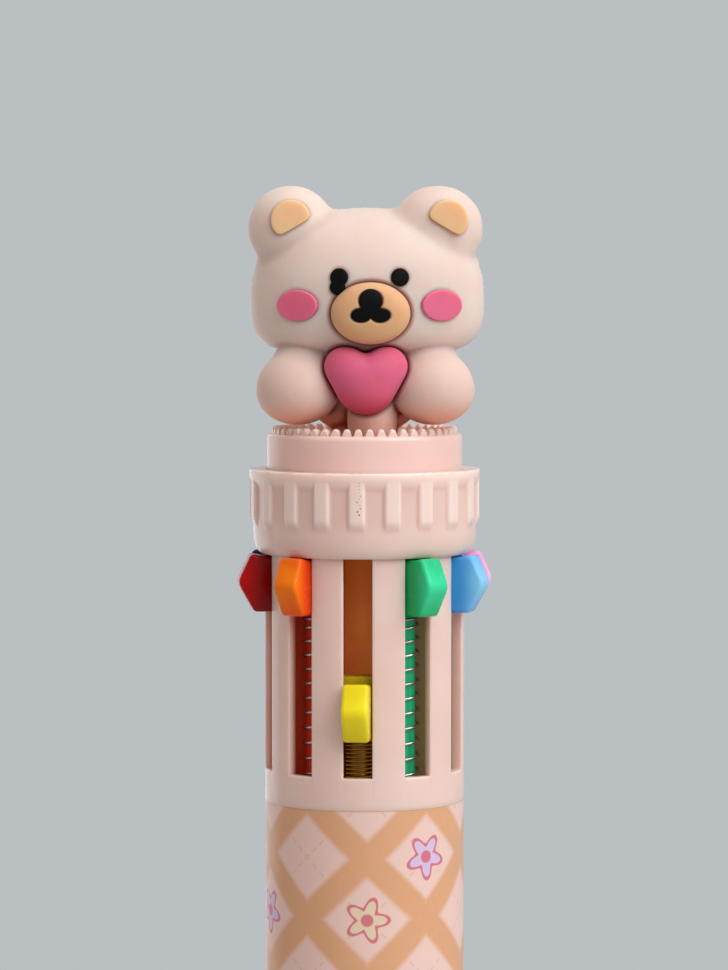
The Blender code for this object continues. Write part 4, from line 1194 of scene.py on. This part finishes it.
def coil_tree():
    """A tree that draws a coil spring of some length."""
    sizes = dict.fromkeys(("Length", "Turns", "Radius", "Wire", "End Pitch", "Sag"), "Float")
    tree, sheet, given = node_group("coil_spring", {**sizes, "Finish": "Material"})
    line = sheet.node("GeometryNodeCurvePrimitiveLine", {}, {"End": (0, 0, 1)}, "Curve")
    count = round(COIL_TURNS * POINTS_PER_TURN) + 1
    line = sheet.node("GeometryNodeResampleCurve", {}, {"Curve": line, "Count": count})
    turn = sheet.node("GeometryNodeSplineParameter", {}, {}, "Factor") * given["Turns"]
    pitch = (given["Length"] - 2 * given["Wire"] - 2 * given["End Pitch"]) / (given["Turns"] - 2)
    first = turn.maths("MINIMUM", 1.0)
    last = (turn - given["Turns"] + 1).maths("MAXIMUM", 0.0)
    climb = (first + last) * given["End Pitch"] + (turn - first - last) * pitch + given["Wire"]
    climb = climb * (1 + given["Sag"] * (1 - climb / given["Length"]))
    angle = turn * (2 * math.pi)
    across = angle.maths("COSINE") * given["Radius"]
    along = angle.maths("SINE") * given["Radius"]
    helix = sheet.node("ShaderNodeCombineXYZ", {}, {"X": across, "Y": along, "Z": climb})
    path = sheet.node("GeometryNodeSetPosition", {}, {"Geometry": line, "Position": helix})
    sockets = {"Resolution": WIRE_SIDES, "Radius": given["Wire"]}
    ring = sheet.node("GeometryNodeCurvePrimitiveCircle", {}, sockets, "Curve")
    sockets = {"Curve": path, "Profile Curve": ring, "Fill Caps": True}
    wire = sheet.node("GeometryNodeCurveToMesh", {}, sockets)
    finished(sheet, wire, given["Finish"])
    return tree


coil_of = coil_tree()
spring_steel = bright_metal("spring_steel", rgb(196, 192, 186), rgb(160, 154, 148), roughness=0.2)
# Painted shade: the clicked spring lies in its button's shadow, so its steel is darker and browner.
shaded_brown_steel = bright_metal("shaded_brown_steel", rgb(150, 116, 66), rgb(108, 78, 42), roughness=0.3)
print("tree:", coil_of.name)

# %% Springs
SPRING_LOW = SPRING_SEAT + FIT_GAP
FREE_LENGTH = BUTTON_UP - SPRING_SEAT - 2 * FIT_GAP
COIL = {"Turns": COIL_TURNS, "Radius": COIL_RADIUS, "Wire": WIRE, "End Pitch": END_PITCH, "Sag": SAG}

for colour in COLOURS:
    turn, down = station(colour)
    length = FREE_LENGTH - down
    steel = shaded_brown_steel if down else spring_steel
    coil = baked(bpy.data.meshes.new("coil_start"), coil_of, {**COIL, "Length": length, "Finish": steel})
    stand = turn @ Matrix.Translation((STATION_RING, 0, SPRING_LOW))
    coil.transform(stand)
    body = None if down else "housing"
    made = piece("coil_" + colour, coil, steel, body, ["spring_" + colour], "spring_steel", SOFT_ANGLE)
    if down:
        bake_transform(made)
    else:
        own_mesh(made)
print("spring length in mm:", round(FREE_LENGTH / MM, 2), "faces each:", len(coil.polygons))

# %% [markdown]
# ## The bear: soft vinyl
# The topper is soft cream vinyl, cast in one, with coloured inlays pressed into it. Light goes into such
# vinyl, so its shadows turn warm. Subsurface scattering gives that, helped by painted warm shade at the
# lower end and painted light on the belly. A groove attribute on the mesh darkens the seams round the
# inlays with stain and painted shade. A few dark specks lie in the surface.

# %% Vinyl finishes
DECK = COLLAR_TOP
PAW_PAINTED_SHADE = rgb(217, 191, 180)
HEART_PAINTED_SHADE = rgb(196, 44, 50)
LOW_PAINTED_SHADE = rgb(222, 132, 88)
BELLY_PAINTED_LIGHT = rgb(244, 186, 170)
VINYL_SPECK = rgb(80, 62, 56)
GROOVE_BROWN = rgb(150, 28, 14)
STEM_ASIDE = 0.6 * MM


def soft_vinyl(name, tone, shade, stain_and_shade, specks=0.1, gloss=0.22, depth=1.2 * MM, painted_lows=()):
    """Soft vinyl in two close tones, into which light goes to some depth.

    Each painted low is a colour for the lower end: painted shade on paws, heart and base, painted light on
    the belly. It comes with its share, its top over the deck, its fade, and the half width of a strip in
    the middle that stays clear of it.
    """
    finish = Finish(name, Specular_IOR_Level=gloss, Subsurface_Weight=0.85,
                    Subsurface_Radius=(1.0, 0.42, 0.24), Subsurface_Scale=depth)
    colour = finish.mixed(tone, shade, finish.patches(3.5 * MM, 3.0))
    x, _, z = finish.axes()
    # Painted shade low on the figure, and painted light on the belly.
    for painted_colour, share, height, fade, clear in painted_lows:
        reach = (1 - z.rises(DECK + height, fade)) * share
        if clear:
            reach = reach * abs(x - STEM_ASIDE).rises(clear, 0.8 * MM)
        colour = finish.mixed(colour, painted_colour, reach)
    groove = finish.node("ShaderNodeAttribute", {"attribute_name": "groove"}, {}, "Fac")
    dots = finish.specks(spread=2.3 * MM, size=0.1 * MM, share=specks)
    colour = finish.mixed(colour, VINYL_SPECK, dots * 0.7)
    colour = finish.mixed(colour, stain_and_shade, groove)
    skin = finish.cloud(0.22 * MM) * 0.5 + finish.cloud(0.9 * MM) - dots
    return finish.feed(colour, 0.46 + finish.patches(1.8 * MM, 4.0) * 0.14, skin, 0.012 * MM)


bear_skin = soft_vinyl("bear_skin", rgb(230, 213, 205), rgb(225, 206, 197), GROOVE_BROWN, specks=0.12,
                       depth=2.6 * MM, painted_lows=[(PAW_PAINTED_SHADE, 0.7, 9.6 * MM, 1.6 * MM, 0),
                                             (BELLY_PAINTED_LIGHT, 0.9, 4.6 * MM, 3.0 * MM, 0),
                                             (LOW_PAINTED_SHADE, 0.8, 4.3 * MM, 2.8 * MM, 2.0 * MM)])
bear_tan = soft_vinyl("bear_tan", rgb(226, 184, 144), rgb(219, 173, 130), rgb(110, 44, 24), specks=0.06)
ear_tan = soft_vinyl("bear_ear_tan", rgb(250, 205, 162), rgb(245, 196, 152), GROOVE_BROWN, specks=0.05)
bear_rose = soft_vinyl("bear_rose", rgb(222, 110, 146), rgb(214, 98, 132), rgb(120, 12, 26), specks=0.03,
                       painted_lows=[(HEART_PAINTED_SHADE, 0.85, 5.6 * MM, 3.6 * MM, 0)])
cheek_rose = soft_vinyl("cheek_rose", rgb(232, 118, 152), rgb(226, 106, 140), GROOVE_BROWN, specks=0.03)
bear_dark = soft_vinyl("bear_dark", rgb(9, 9, 10), rgb(5, 5, 6), rgb(4, 4, 4), specks=0.0, gloss=0.1)
print("finish:", bear_skin.name)

# %% [markdown]
# ## The bear: form
# The figure is a handful of rounded masses that melt into each other. Joining smooth ellipsoids and
# remeshing them with small voxels welds the masses, and a few smoothing passes turn the creases into
# fillets: many where the ears flow into the head and a paw into its shoulder, and few where head and arms
# meet the body, so that a clear crease stays there.

# %% Masses
HEAD_CENTRE = Vector((0.24, 0.0, 13.6))
HEAD_RADII = Vector((9.36, 6.6, 7.34))
HEAD_SQUARENESS = 2.35
JAW_DEEP = 4.7
JAW_SQUARENESS = 3.4
EAR_CENTRE = Vector((5.95, -1.5, 19.3))
EAR_RADII = Vector((3.5, 2.9, 3.45))
PAW_CENTRE = Vector((5.4, -3.6, 6.3))
PAW_RADII = Vector((3.34, 3.3, 3.4))
PAW_DEEP = 2.7
SHOULDER_CENTRE = Vector((4.9, -2.4, 8.5))
SHOULDER_RADII = Vector((2.6, 2.7, 2.2))
BODY_CENTRE = Vector((0.0, 0.4, 7.0))
BODY_RADII = Vector((5.2, 4.3, 4.4))
STEM_RADIUS = 2.65
BELLY_CENTRE = Vector((0.6, -3.3, 4.1))
BELLY_RADII = Vector((2.0, 2.2, 3.2))
RIGHT_EAR_WIDER = 0.17
STEM_LEVELS = (0.85, 1.2, 4.0, BODY_CENTRE.z)
# A weld's voxel in millimetres, and its smoothing passes
ARM_WELD = (0.25, 16)
HEAD_WELD = (0.3, 16)
FIGURE_WELD = (0.15, 4)
BEAR_SHIFT = 0.06
FACE_SHIFT = 0.39


def pull(value, squareness):
    """A sine or cosine bent so that a circle of it becomes boxier."""
    return math.copysign(abs(value) ** (2 / squareness), value)


def mass(centre, radii, squareness=2.0, below=None, sides=64, rings=32):
    """A rounded mass in millimetres from the deck, which a squareness over 2 makes boxier.

    Its lower half can have a depth and a squareness of its own, as a pair.
    """
    layers = []
    for ring in range(rings + 1):
        latitude = math.pi * (ring / rings - 0.5)
        deep, upright = below if below and latitude < 0 else (radii.z, squareness)
        width = pull(math.cos(latitude), upright) if 0 < ring < rings else 0.0
        height = centre.z + deep * pull(math.sin(latitude), upright)
        layer = []
        for i in range(sides if width else 1):
            turn = 2 * math.pi * i / sides
            x = centre.x + radii.x * width * pull(math.cos(turn), squareness)
            y = centre.y + radii.y * width * pull(math.sin(turn), squareness)
            layer.append((x, y, height))
        layers.append(layer)
    return lofted(layers)


def welded(mesh, voxel, passes):
    """Overlapping masses as one skin, with its creases smoothed."""
    maker = bpy.data.objects.new("maker", mesh)
    weld = maker.modifiers.new("weld", "REMESH")
    weld.mode = "VOXEL"
    weld.voxel_size = voxel
    ease = maker.modifiers.new("ease", "SMOOTH")
    ease.iterations = passes
    return applied(maker)


def mirrored(centre, side, shift):
    """A centre on the left or the right, about a middle that is shifted."""
    return Vector((shift + side * centre.x, centre.y, centre.z))


head = [mass(HEAD_CENTRE, HEAD_RADII, HEAD_SQUARENESS, (JAW_DEEP, JAW_SQUARENESS), sides=96, rings=48)]
arms = []
for side in (-1, 1):
    wider = Vector((RIGHT_EAR_WIDER if side > 0 else 0.0, 0, 0))
    head.append(mass(mirrored(EAR_CENTRE, side, BEAR_SHIFT) - wider, EAR_RADII + wider))
    paw = mass(mirrored(PAW_CENTRE, side, BEAR_SHIFT), PAW_RADII, below=(PAW_DEEP, 2.0))
    shoulder = mass(mirrored(SHOULDER_CENTRE, side, BEAR_SHIFT), SHOULDER_RADII)
    arms.append(welded(joined(paw, shoulder), *ARM_WELD))
head = welded(joined(*head), *HEAD_WELD)
stem = lofted([circle(STEM_RADIUS, level, sides=64) for level in STEM_LEVELS])
belly = mass(BELLY_CENTRE, BELLY_RADII)
figure = welded(joined(head, mass(BODY_CENTRE, BODY_RADII), stem, belly, *arms), *FIGURE_WELD)
print("bear faces:", len(figure.polygons))

# %% [markdown]
# ## The bear: inlays
# Cheeks, eyes and ear pads are flat buttons with a rounded rim, set into the surface around them. All are
# one idea: an outline that rises straight out of the vinyl and closes over it. The same bent sine that
# shapes the head makes the closing rings a dome or a flat top with a tight rim. A frame on the head's
# surface gives each inlay its place and tilt.

# %% Inlay shapes
INLAY_RINGS = 14


def head_front(x, z):
    """The y of the head's front at this x and z."""
    side = abs((x - HEAD_CENTRE.x) / HEAD_RADII.x)
    above = z > HEAD_CENTRE.z
    upright = HEAD_SQUARENESS if above else JAW_SQUARENESS
    rise = abs(z - HEAD_CENTRE.z) / (HEAD_RADII.z if above else JAW_DEEP)
    width = (1 - rise**upright) ** (HEAD_SQUARENESS / upright)
    return HEAD_CENTRE.y - HEAD_RADII.y * (width - side**HEAD_SQUARENESS) ** (1 / HEAD_SQUARENESS)


def on_head(x, z, near=0.2):
    """A frame on the head's front at this x and z, with its y axis pointing into the head."""
    slope_x = (head_front(x + near, z) - head_front(x - near, z)) / (2 * near)
    slope_z = (head_front(x, z + near) - head_front(x, z - near)) / (2 * near)
    outward = Vector((slope_x, -1, slope_z)).normalized()
    turn = Vector((0, -1, 0)).rotation_difference(outward).to_matrix().to_4x4()
    return Matrix.Translation((x, head_front(x, z), z)) @ turn


def inlay(outline, place, sink, rise, squareness):
    """An outline of (x, z) points that stands out by rise, as a dome or, over a squareness of 2, flatter."""
    rings = [[(x, sink, z) for x, z in outline]]
    for k in range(INLAY_RINGS):
        angle = math.pi / 2 * k / INLAY_RINGS
        share = pull(math.cos(angle), squareness)
        lift = rise * pull(math.sin(angle), squareness)
        rings.append([(x * share, -lift, z * share) for x, z in outline])
    rings.append([(0.0, -rise, 0.0)])
    mesh = lofted(rings)
    mesh.transform(place)
    return mesh


def eased(outline, count=96, passes=10):
    """A closed outline with points at even steps and its corners smoothed."""
    ends = outline + outline[:1]
    runs = [0.0]
    for here, after in zip(ends, ends[1:]):
        runs.append(runs[-1] + math.dist(here, after))
    steps = np.linspace(0, runs[-1], count, endpoint=False)
    even = np.stack([np.interp(steps, runs, [point[axis] for point in ends]) for axis in (0, 1)], axis=1)
    for _ in range(passes):
        even = (np.roll(even, 1, axis=0) + 2 * even + np.roll(even, -1, axis=0)) / 4
    return [tuple(point) for point in even]


def oval(wide, high, count=48):
    """An outline of (x, z) points with these half widths."""
    turns = [2 * math.pi * k / count for k in range(count)]
    return [(wide * math.cos(turn), high * math.sin(turn)) for turn in turns]


EYE = Vector((2.4, 0.0, 15.36))
CHEEK = Vector((5.73, 0.0, 13.14))
PAD = Vector((6.24, 0.0, 19.92))
PAD_RADIUS = 1.62
PAD_FLAT = 0.66
PAD_AWAY = math.radians(59)
PAD_FRONT = EAR_CENTRE.y - EAR_RADII.y + 0.05
PAD_STEPS = 32


def ear_pad(side):
    """A half-moon whose flat edge faces down and to the middle of the head."""
    half = math.acos(-PAD_FLAT / PAD_RADIUS)
    away = PAD_AWAY if side > 0 else math.pi - PAD_AWAY
    turns = [away + half * (2 * k / PAD_STEPS - 1) for k in range(PAD_STEPS + 1)]
    outline = eased([(PAD_RADIUS * math.cos(turn), PAD_RADIUS * math.sin(turn)) for turn in turns], passes=30)
    place = Matrix.Translation((FACE_SHIFT + side * PAD.x, PAD_FRONT, PAD.z))
    return inlay(outline, place, sink=0.6, rise=0.3, squareness=7.0)


def eye(side):
    """A round eye. The left one has a small blot at its lower edge, as cast."""
    place = on_head(FACE_SHIFT + side * EYE.x, EYE.z)
    shape = inlay(oval(0.71, 0.72), place, sink=0.4, rise=0.16, squareness=4.0)
    if side > 0:
        return shape
    below = place @ Matrix.Translation((-0.12, 0, -0.78))
    blot = inlay(oval(0.62, 0.6), below, sink=0.4, rise=0.14, squareness=4.0)
    return joined(shape, blot)


def cheek(side):
    """A wide oval cheek."""
    place = on_head(FACE_SHIFT + side * CHEEK.x, CHEEK.z)
    return inlay(oval(1.72, 1.22), place, sink=0.5, rise=0.2, squareness=7.0)


print("head front over the muzzle:", round(head_front(FACE_SHIFT, 15.3), 2))

# %% [markdown]
# ## The bear: muzzle and heart
# The muzzle is a fuller inlay. Nose and mouth are three flat blots that lie level with it, so the
# welded blots are laid onto the muzzle's front by casting a ray at it for every point. The heart is
# puffed up from an outline: the hull of three circles, two for the lobes and a larger one below, with a
# shallow notch. Rings shrink towards its middle while they rise, and the notch fades out after a few.

# %% Muzzle, nose and mouth
MUZZLE_CENTRE = Vector((0.47, -6.0, 12.53))
MUZZLE_RADII = Vector((3.15, 2.0, 2.46))
NOSE_RISE = 1.0
MOUTH_SPREAD = 0.76
MOUTH_DROP = 0.16
NOSE_LEVEL = 0.03
NOSE_RADII = Vector((0.93, 0.5, 0.93))
MOUTH_RADII = Vector((0.79, 0.5, 0.54))
MUZZLE_WELD = (0.08, 3)
BLOT_WELD = (0.06, 2)

muzzle = inlay(oval(MUZZLE_RADII.x, MUZZLE_RADII.z, 96), Matrix.Translation(MUZZLE_CENTRE),
               sink=1.6, rise=MUZZLE_RADII.y, squareness=2.9)
muzzle = welded(muzzle, *MUZZLE_WELD)
front = MUZZLE_CENTRE.y - MUZZLE_RADII.y + 0.15
blots = [mass(Vector((MUZZLE_CENTRE.x, front, MUZZLE_CENTRE.z + NOSE_RISE)), NOSE_RADII)]
for side in (-1, 1):
    middle = Vector((MUZZLE_CENTRE.x + side * MOUTH_SPREAD, front, MUZZLE_CENTRE.z - MOUTH_DROP))
    blots.append(mass(middle, MOUTH_RADII))
nose_mouth = welded(joined(*blots), *BLOT_WELD)


def bvh(mesh):
    """The mesh as a tree that finds its nearest point, or where a ray meets it."""
    shape = bmesh.new()
    shape.from_mesh(mesh)
    tree = BVHTree.FromBMesh(shape)
    shape.free()
    return tree


print("nose and mouth faces:", len(nose_mouth.polygons))

# %% Heart
HEART_CENTRE = Vector((0.1, -5.6, 7.19))
# The x, z and radius of each circle
HEART_CIRCLES = ((-1.74, 1.1, 1.58), (1.74, 1.1, 1.58), (0.0, -0.25, 2.45))
HEART_RISE = 2.1
HEART_SINK = 1.2
HEART_RINGS = 16
NOTCH_DEEP = 0.5
NOTCH_HALF = 0.8


def hull(circles, count=180):
    """The outline round some circles: in each direction the circle that reaches furthest."""
    points = []
    for k in range(count):
        turn = 2 * math.pi * k / count
        ray = Vector((math.cos(turn), math.sin(turn)))
        x, z, radius = max(circles, key=lambda c: c[0] * ray.x + c[1] * ray.y + c[2])
        points.append((x + radius * ray.x, z + radius * ray.y))
    return eased(points, count=120, passes=3)


def puffed_heart():
    """Rings of the heart's outline that rise as they shrink, with a notch at the top."""
    outline = hull(HEART_CIRCLES)
    rings = [(1.0, -HEART_SINK), (1.0, 0.0)]
    for k in range(1, HEART_RINGS):
        share = math.cos(math.pi / 2 * k / HEART_RINGS)
        rings.append((share, HEART_RISE * (1 - share**2.3) ** 0.5))
    layers = []
    for share, lift in rings:
        notch = NOTCH_DEEP * max(0.0, (share - 0.3) / 0.7) ** 1.5
        layer = []
        for x, z in outline:
            dip = notch * math.exp(-((x / NOTCH_HALF) ** 2)) if z > 1.0 else 0.0
            layer.append((share * x, -lift, share * z - dip))
        layers.append(layer)
    layers.append([(0.0, -HEART_RISE, 0.0)])
    mesh = lofted(layers)
    mesh.transform(Matrix.Translation(HEART_CENTRE))
    return mesh


heart = puffed_heart()
inlays = {"muzzle": muzzle, "heart": heart}
for side, word in ((-1, "left"), (1, "right")):
    for kind, shaped in (("eye_", eye), ("cheek_", cheek), ("ear_pad_", ear_pad)):
        inlays[kind + word] = shaped(side)
print("inlays:", sorted(inlays))

# %% [markdown]
# ## The bear: grooves and moulding line
# Each inlay sits in a shallow groove. The dark colour round the muzzle and the heart, and the little round
# the others, is partly stain and partly painted shade. For every point of the skin close to an inlay, the
# nearest point of that inlay gives a distance: the skin sinks a little there, and the groove attribute keeps
# the stain and painted shade for the vinyl finish to read. The folds between the masses get painted shade
# too, found by how far the skin around a point lies outside it, and most of all the low ones beside the
# belly. A thin uneven ridge where the mould's halves met runs round the head.

# %% Press the grooves
# Each groove's width and depth in millimetres, and its stain, which is partly painted shade
GROOVES = {
    "muzzle": (0.42, 0.24, 0.95), "heart": (0.4, 0.1, 0.9), "eye": (0.2, 0.08, 0.35),
    "cheek": (0.22, 0.08, 0.22), "ear": (0.26, 0.1, 0.3),
}
HOLLOW_PASSES = 36
HOLLOW_DEEP = 0.13
HOLLOW_PAINTED_SHADE = 0.9
LOW_TOP = 6.5
LOW_FADE = 2.0
# Stain and painted shade round the rims of the heart and the muzzle, with no sinking
RIM_STAIN_AND_SHADE = (0.36, 0.0, 0.8)
NOSE_GROOVE = (0.16, 0.3, 0.85)
BEFORE_FACE = -12.0


def points_of(mesh, kind):
    """The places or the normals of a mesh's points, a row for each."""
    flat = np.empty(len(mesh.vertices) * 3)
    mesh.vertices.foreach_get(kind, flat)
    return flat.reshape(-1, 3)


def hollows(mesh, places, normals):
    """How hollow the skin is at each point, from 0 to 1: the mean of the skin around it lies outside it."""
    ends = np.empty(len(mesh.edges) * 2, dtype=np.int32)
    mesh.edges.foreach_get("vertices", ends)
    here, there = np.concatenate([ends.reshape(-1, 2), ends.reshape(-1, 2)[:, ::-1]]).T
    count = len(places)
    share = np.bincount(here, minlength=count)
    mean = places.copy()
    for _ in range(HOLLOW_PASSES):
        mean = np.stack([np.bincount(here, mean[there, axis], count) / share for axis in range(3)], axis=1)
    return np.clip(((mean - places) * normals).sum(axis=1) / HOLLOW_DEEP, 0, 1)


def pressed(mesh, stamps, hollow=0.0):
    """Sinks and stains the mesh round each stamp, paints shade in its hollows, and counts marked points.

    A stamp comes with its groove's width, depth and stain, which is partly painted shade.
    """
    places = points_of(mesh, "co")
    normals = points_of(mesh, "normal")
    sink = np.zeros(len(places))
    stain_and_shade = np.zeros(len(places))
    for stamp, (width, depth, dark) in stamps:
        tree = bvh(stamp)
        corners = np.array([v.co for v in stamp.vertices])
        above = places > corners.min(axis=0) - width
        near = np.all(above & (places < corners.max(axis=0) + width), axis=1)
        for i in np.nonzero(near)[0]:
            spot, outward, _, distance = tree.find_nearest(Vector(places[i]))
            inside = (Vector(places[i]) - spot).dot(outward) < 0
            share = 1.0 if inside else max(0.0, 1 - distance / width)
            sink[i] = max(sink[i], depth * share**2)
            stain_and_shade[i] = max(stain_and_shade[i], dark * share)
    # Painted shade in the hollows, strongest in the low ones.
    if hollow:
        low = np.clip((LOW_TOP - places[:, 2]) / LOW_FADE, 0, 1)
        stain_and_shade = np.maximum(stain_and_shade, hollow * (0.2 + 0.8 * low) * hollows(mesh, places, normals))
    places -= normals * sink[:, None]
    mesh.vertices.foreach_set("co", places.ravel())
    mark = mesh.attributes.new("groove", "FLOAT", "POINT")
    mark.data.foreach_set("value", stain_and_shade.astype(np.float32))
    mesh.update()
    return int((stain_and_shade > 0).sum())


stamps = [(mesh, GROOVES[name.split("_")[0]]) for name, mesh in inlays.items()]
print("grooved points of the skin:", pressed(figure, stamps, HOLLOW_PAINTED_SHADE))
muzzle_tree = bvh(muzzle)
print("stained points of the heart:", pressed(heart, [(figure, RIM_STAIN_AND_SHADE)]))
muzzle_stamps = [(nose_mouth, NOSE_GROOVE), (figure, RIM_STAIN_AND_SHADE)]
print("grooved points of the muzzle:", pressed(muzzle, muzzle_stamps))
for point in nose_mouth.vertices:
    hit = muzzle_tree.ray_cast(Vector((point.co.x, BEFORE_FACE, point.co.z)), Vector((0, 1, 0)))[0]
    if hit:
        point.co.y = max(point.co.y, hit.y + NOSE_LEVEL)

# %% Moulding line
RIDGE_HALF = 0.2
RIDGE_HEIGHT = 0.15
NECK = 9.6

ridged = 0
for point in figure.vertices:
    place = point.co
    if place.z > NECK and abs(place.y) < 2 * RIDGE_HALF:
        patchy = 0.5 + noise.noise(Vector((place.x, 0, place.z)) * 1.1)
        grain = 0.6 + 0.8 * noise.noise(Vector((place.x, 3, place.z)) * 4.0)
        rise = RIDGE_HEIGHT * max(0.0, patchy * grain) * math.exp(-((place.y / RIDGE_HALF) ** 2))
        point.co = place + point.normal * rise
        ridged += 1
print("points on the moulding line:", ridged)

# %% Bear pieces
LIFT = Matrix.Translation((0, 0, DECK)) @ Matrix.Scale(MM, 4)
LOOKS = {
    "muzzle": (bear_tan, "bear_tan"), "heart": (bear_rose, "bear_rose"), "cheek": (cheek_rose, "bear_rose"),
    "eye": (bear_dark, "bear_dark"), "ear": (ear_tan, "bear_tan"),
}
for mesh in (figure, nose_mouth, *inlays.values()):
    mesh.transform(LIFT)
piece("bear_skin_figure", figure, bear_skin, "housing", ["bear_figure"], "bear_skin", SOFT_ANGLE)
piece("bear_nose_mouth", nose_mouth, bear_dark, "housing", ["nose_and_mouth"], "bear_dark", SOFT_ANGLE)
for name, mesh in inlays.items():
    finish, slot = LOOKS[name.split("_")[0]]
    piece("bear_" + name, mesh, finish, "housing", [name], slot, SOFT_ANGLE)
print("bear pieces:", len(inlays) + 2)

# %% Sizes and finish
print("cad box in mm:", in_mm(cad_box))
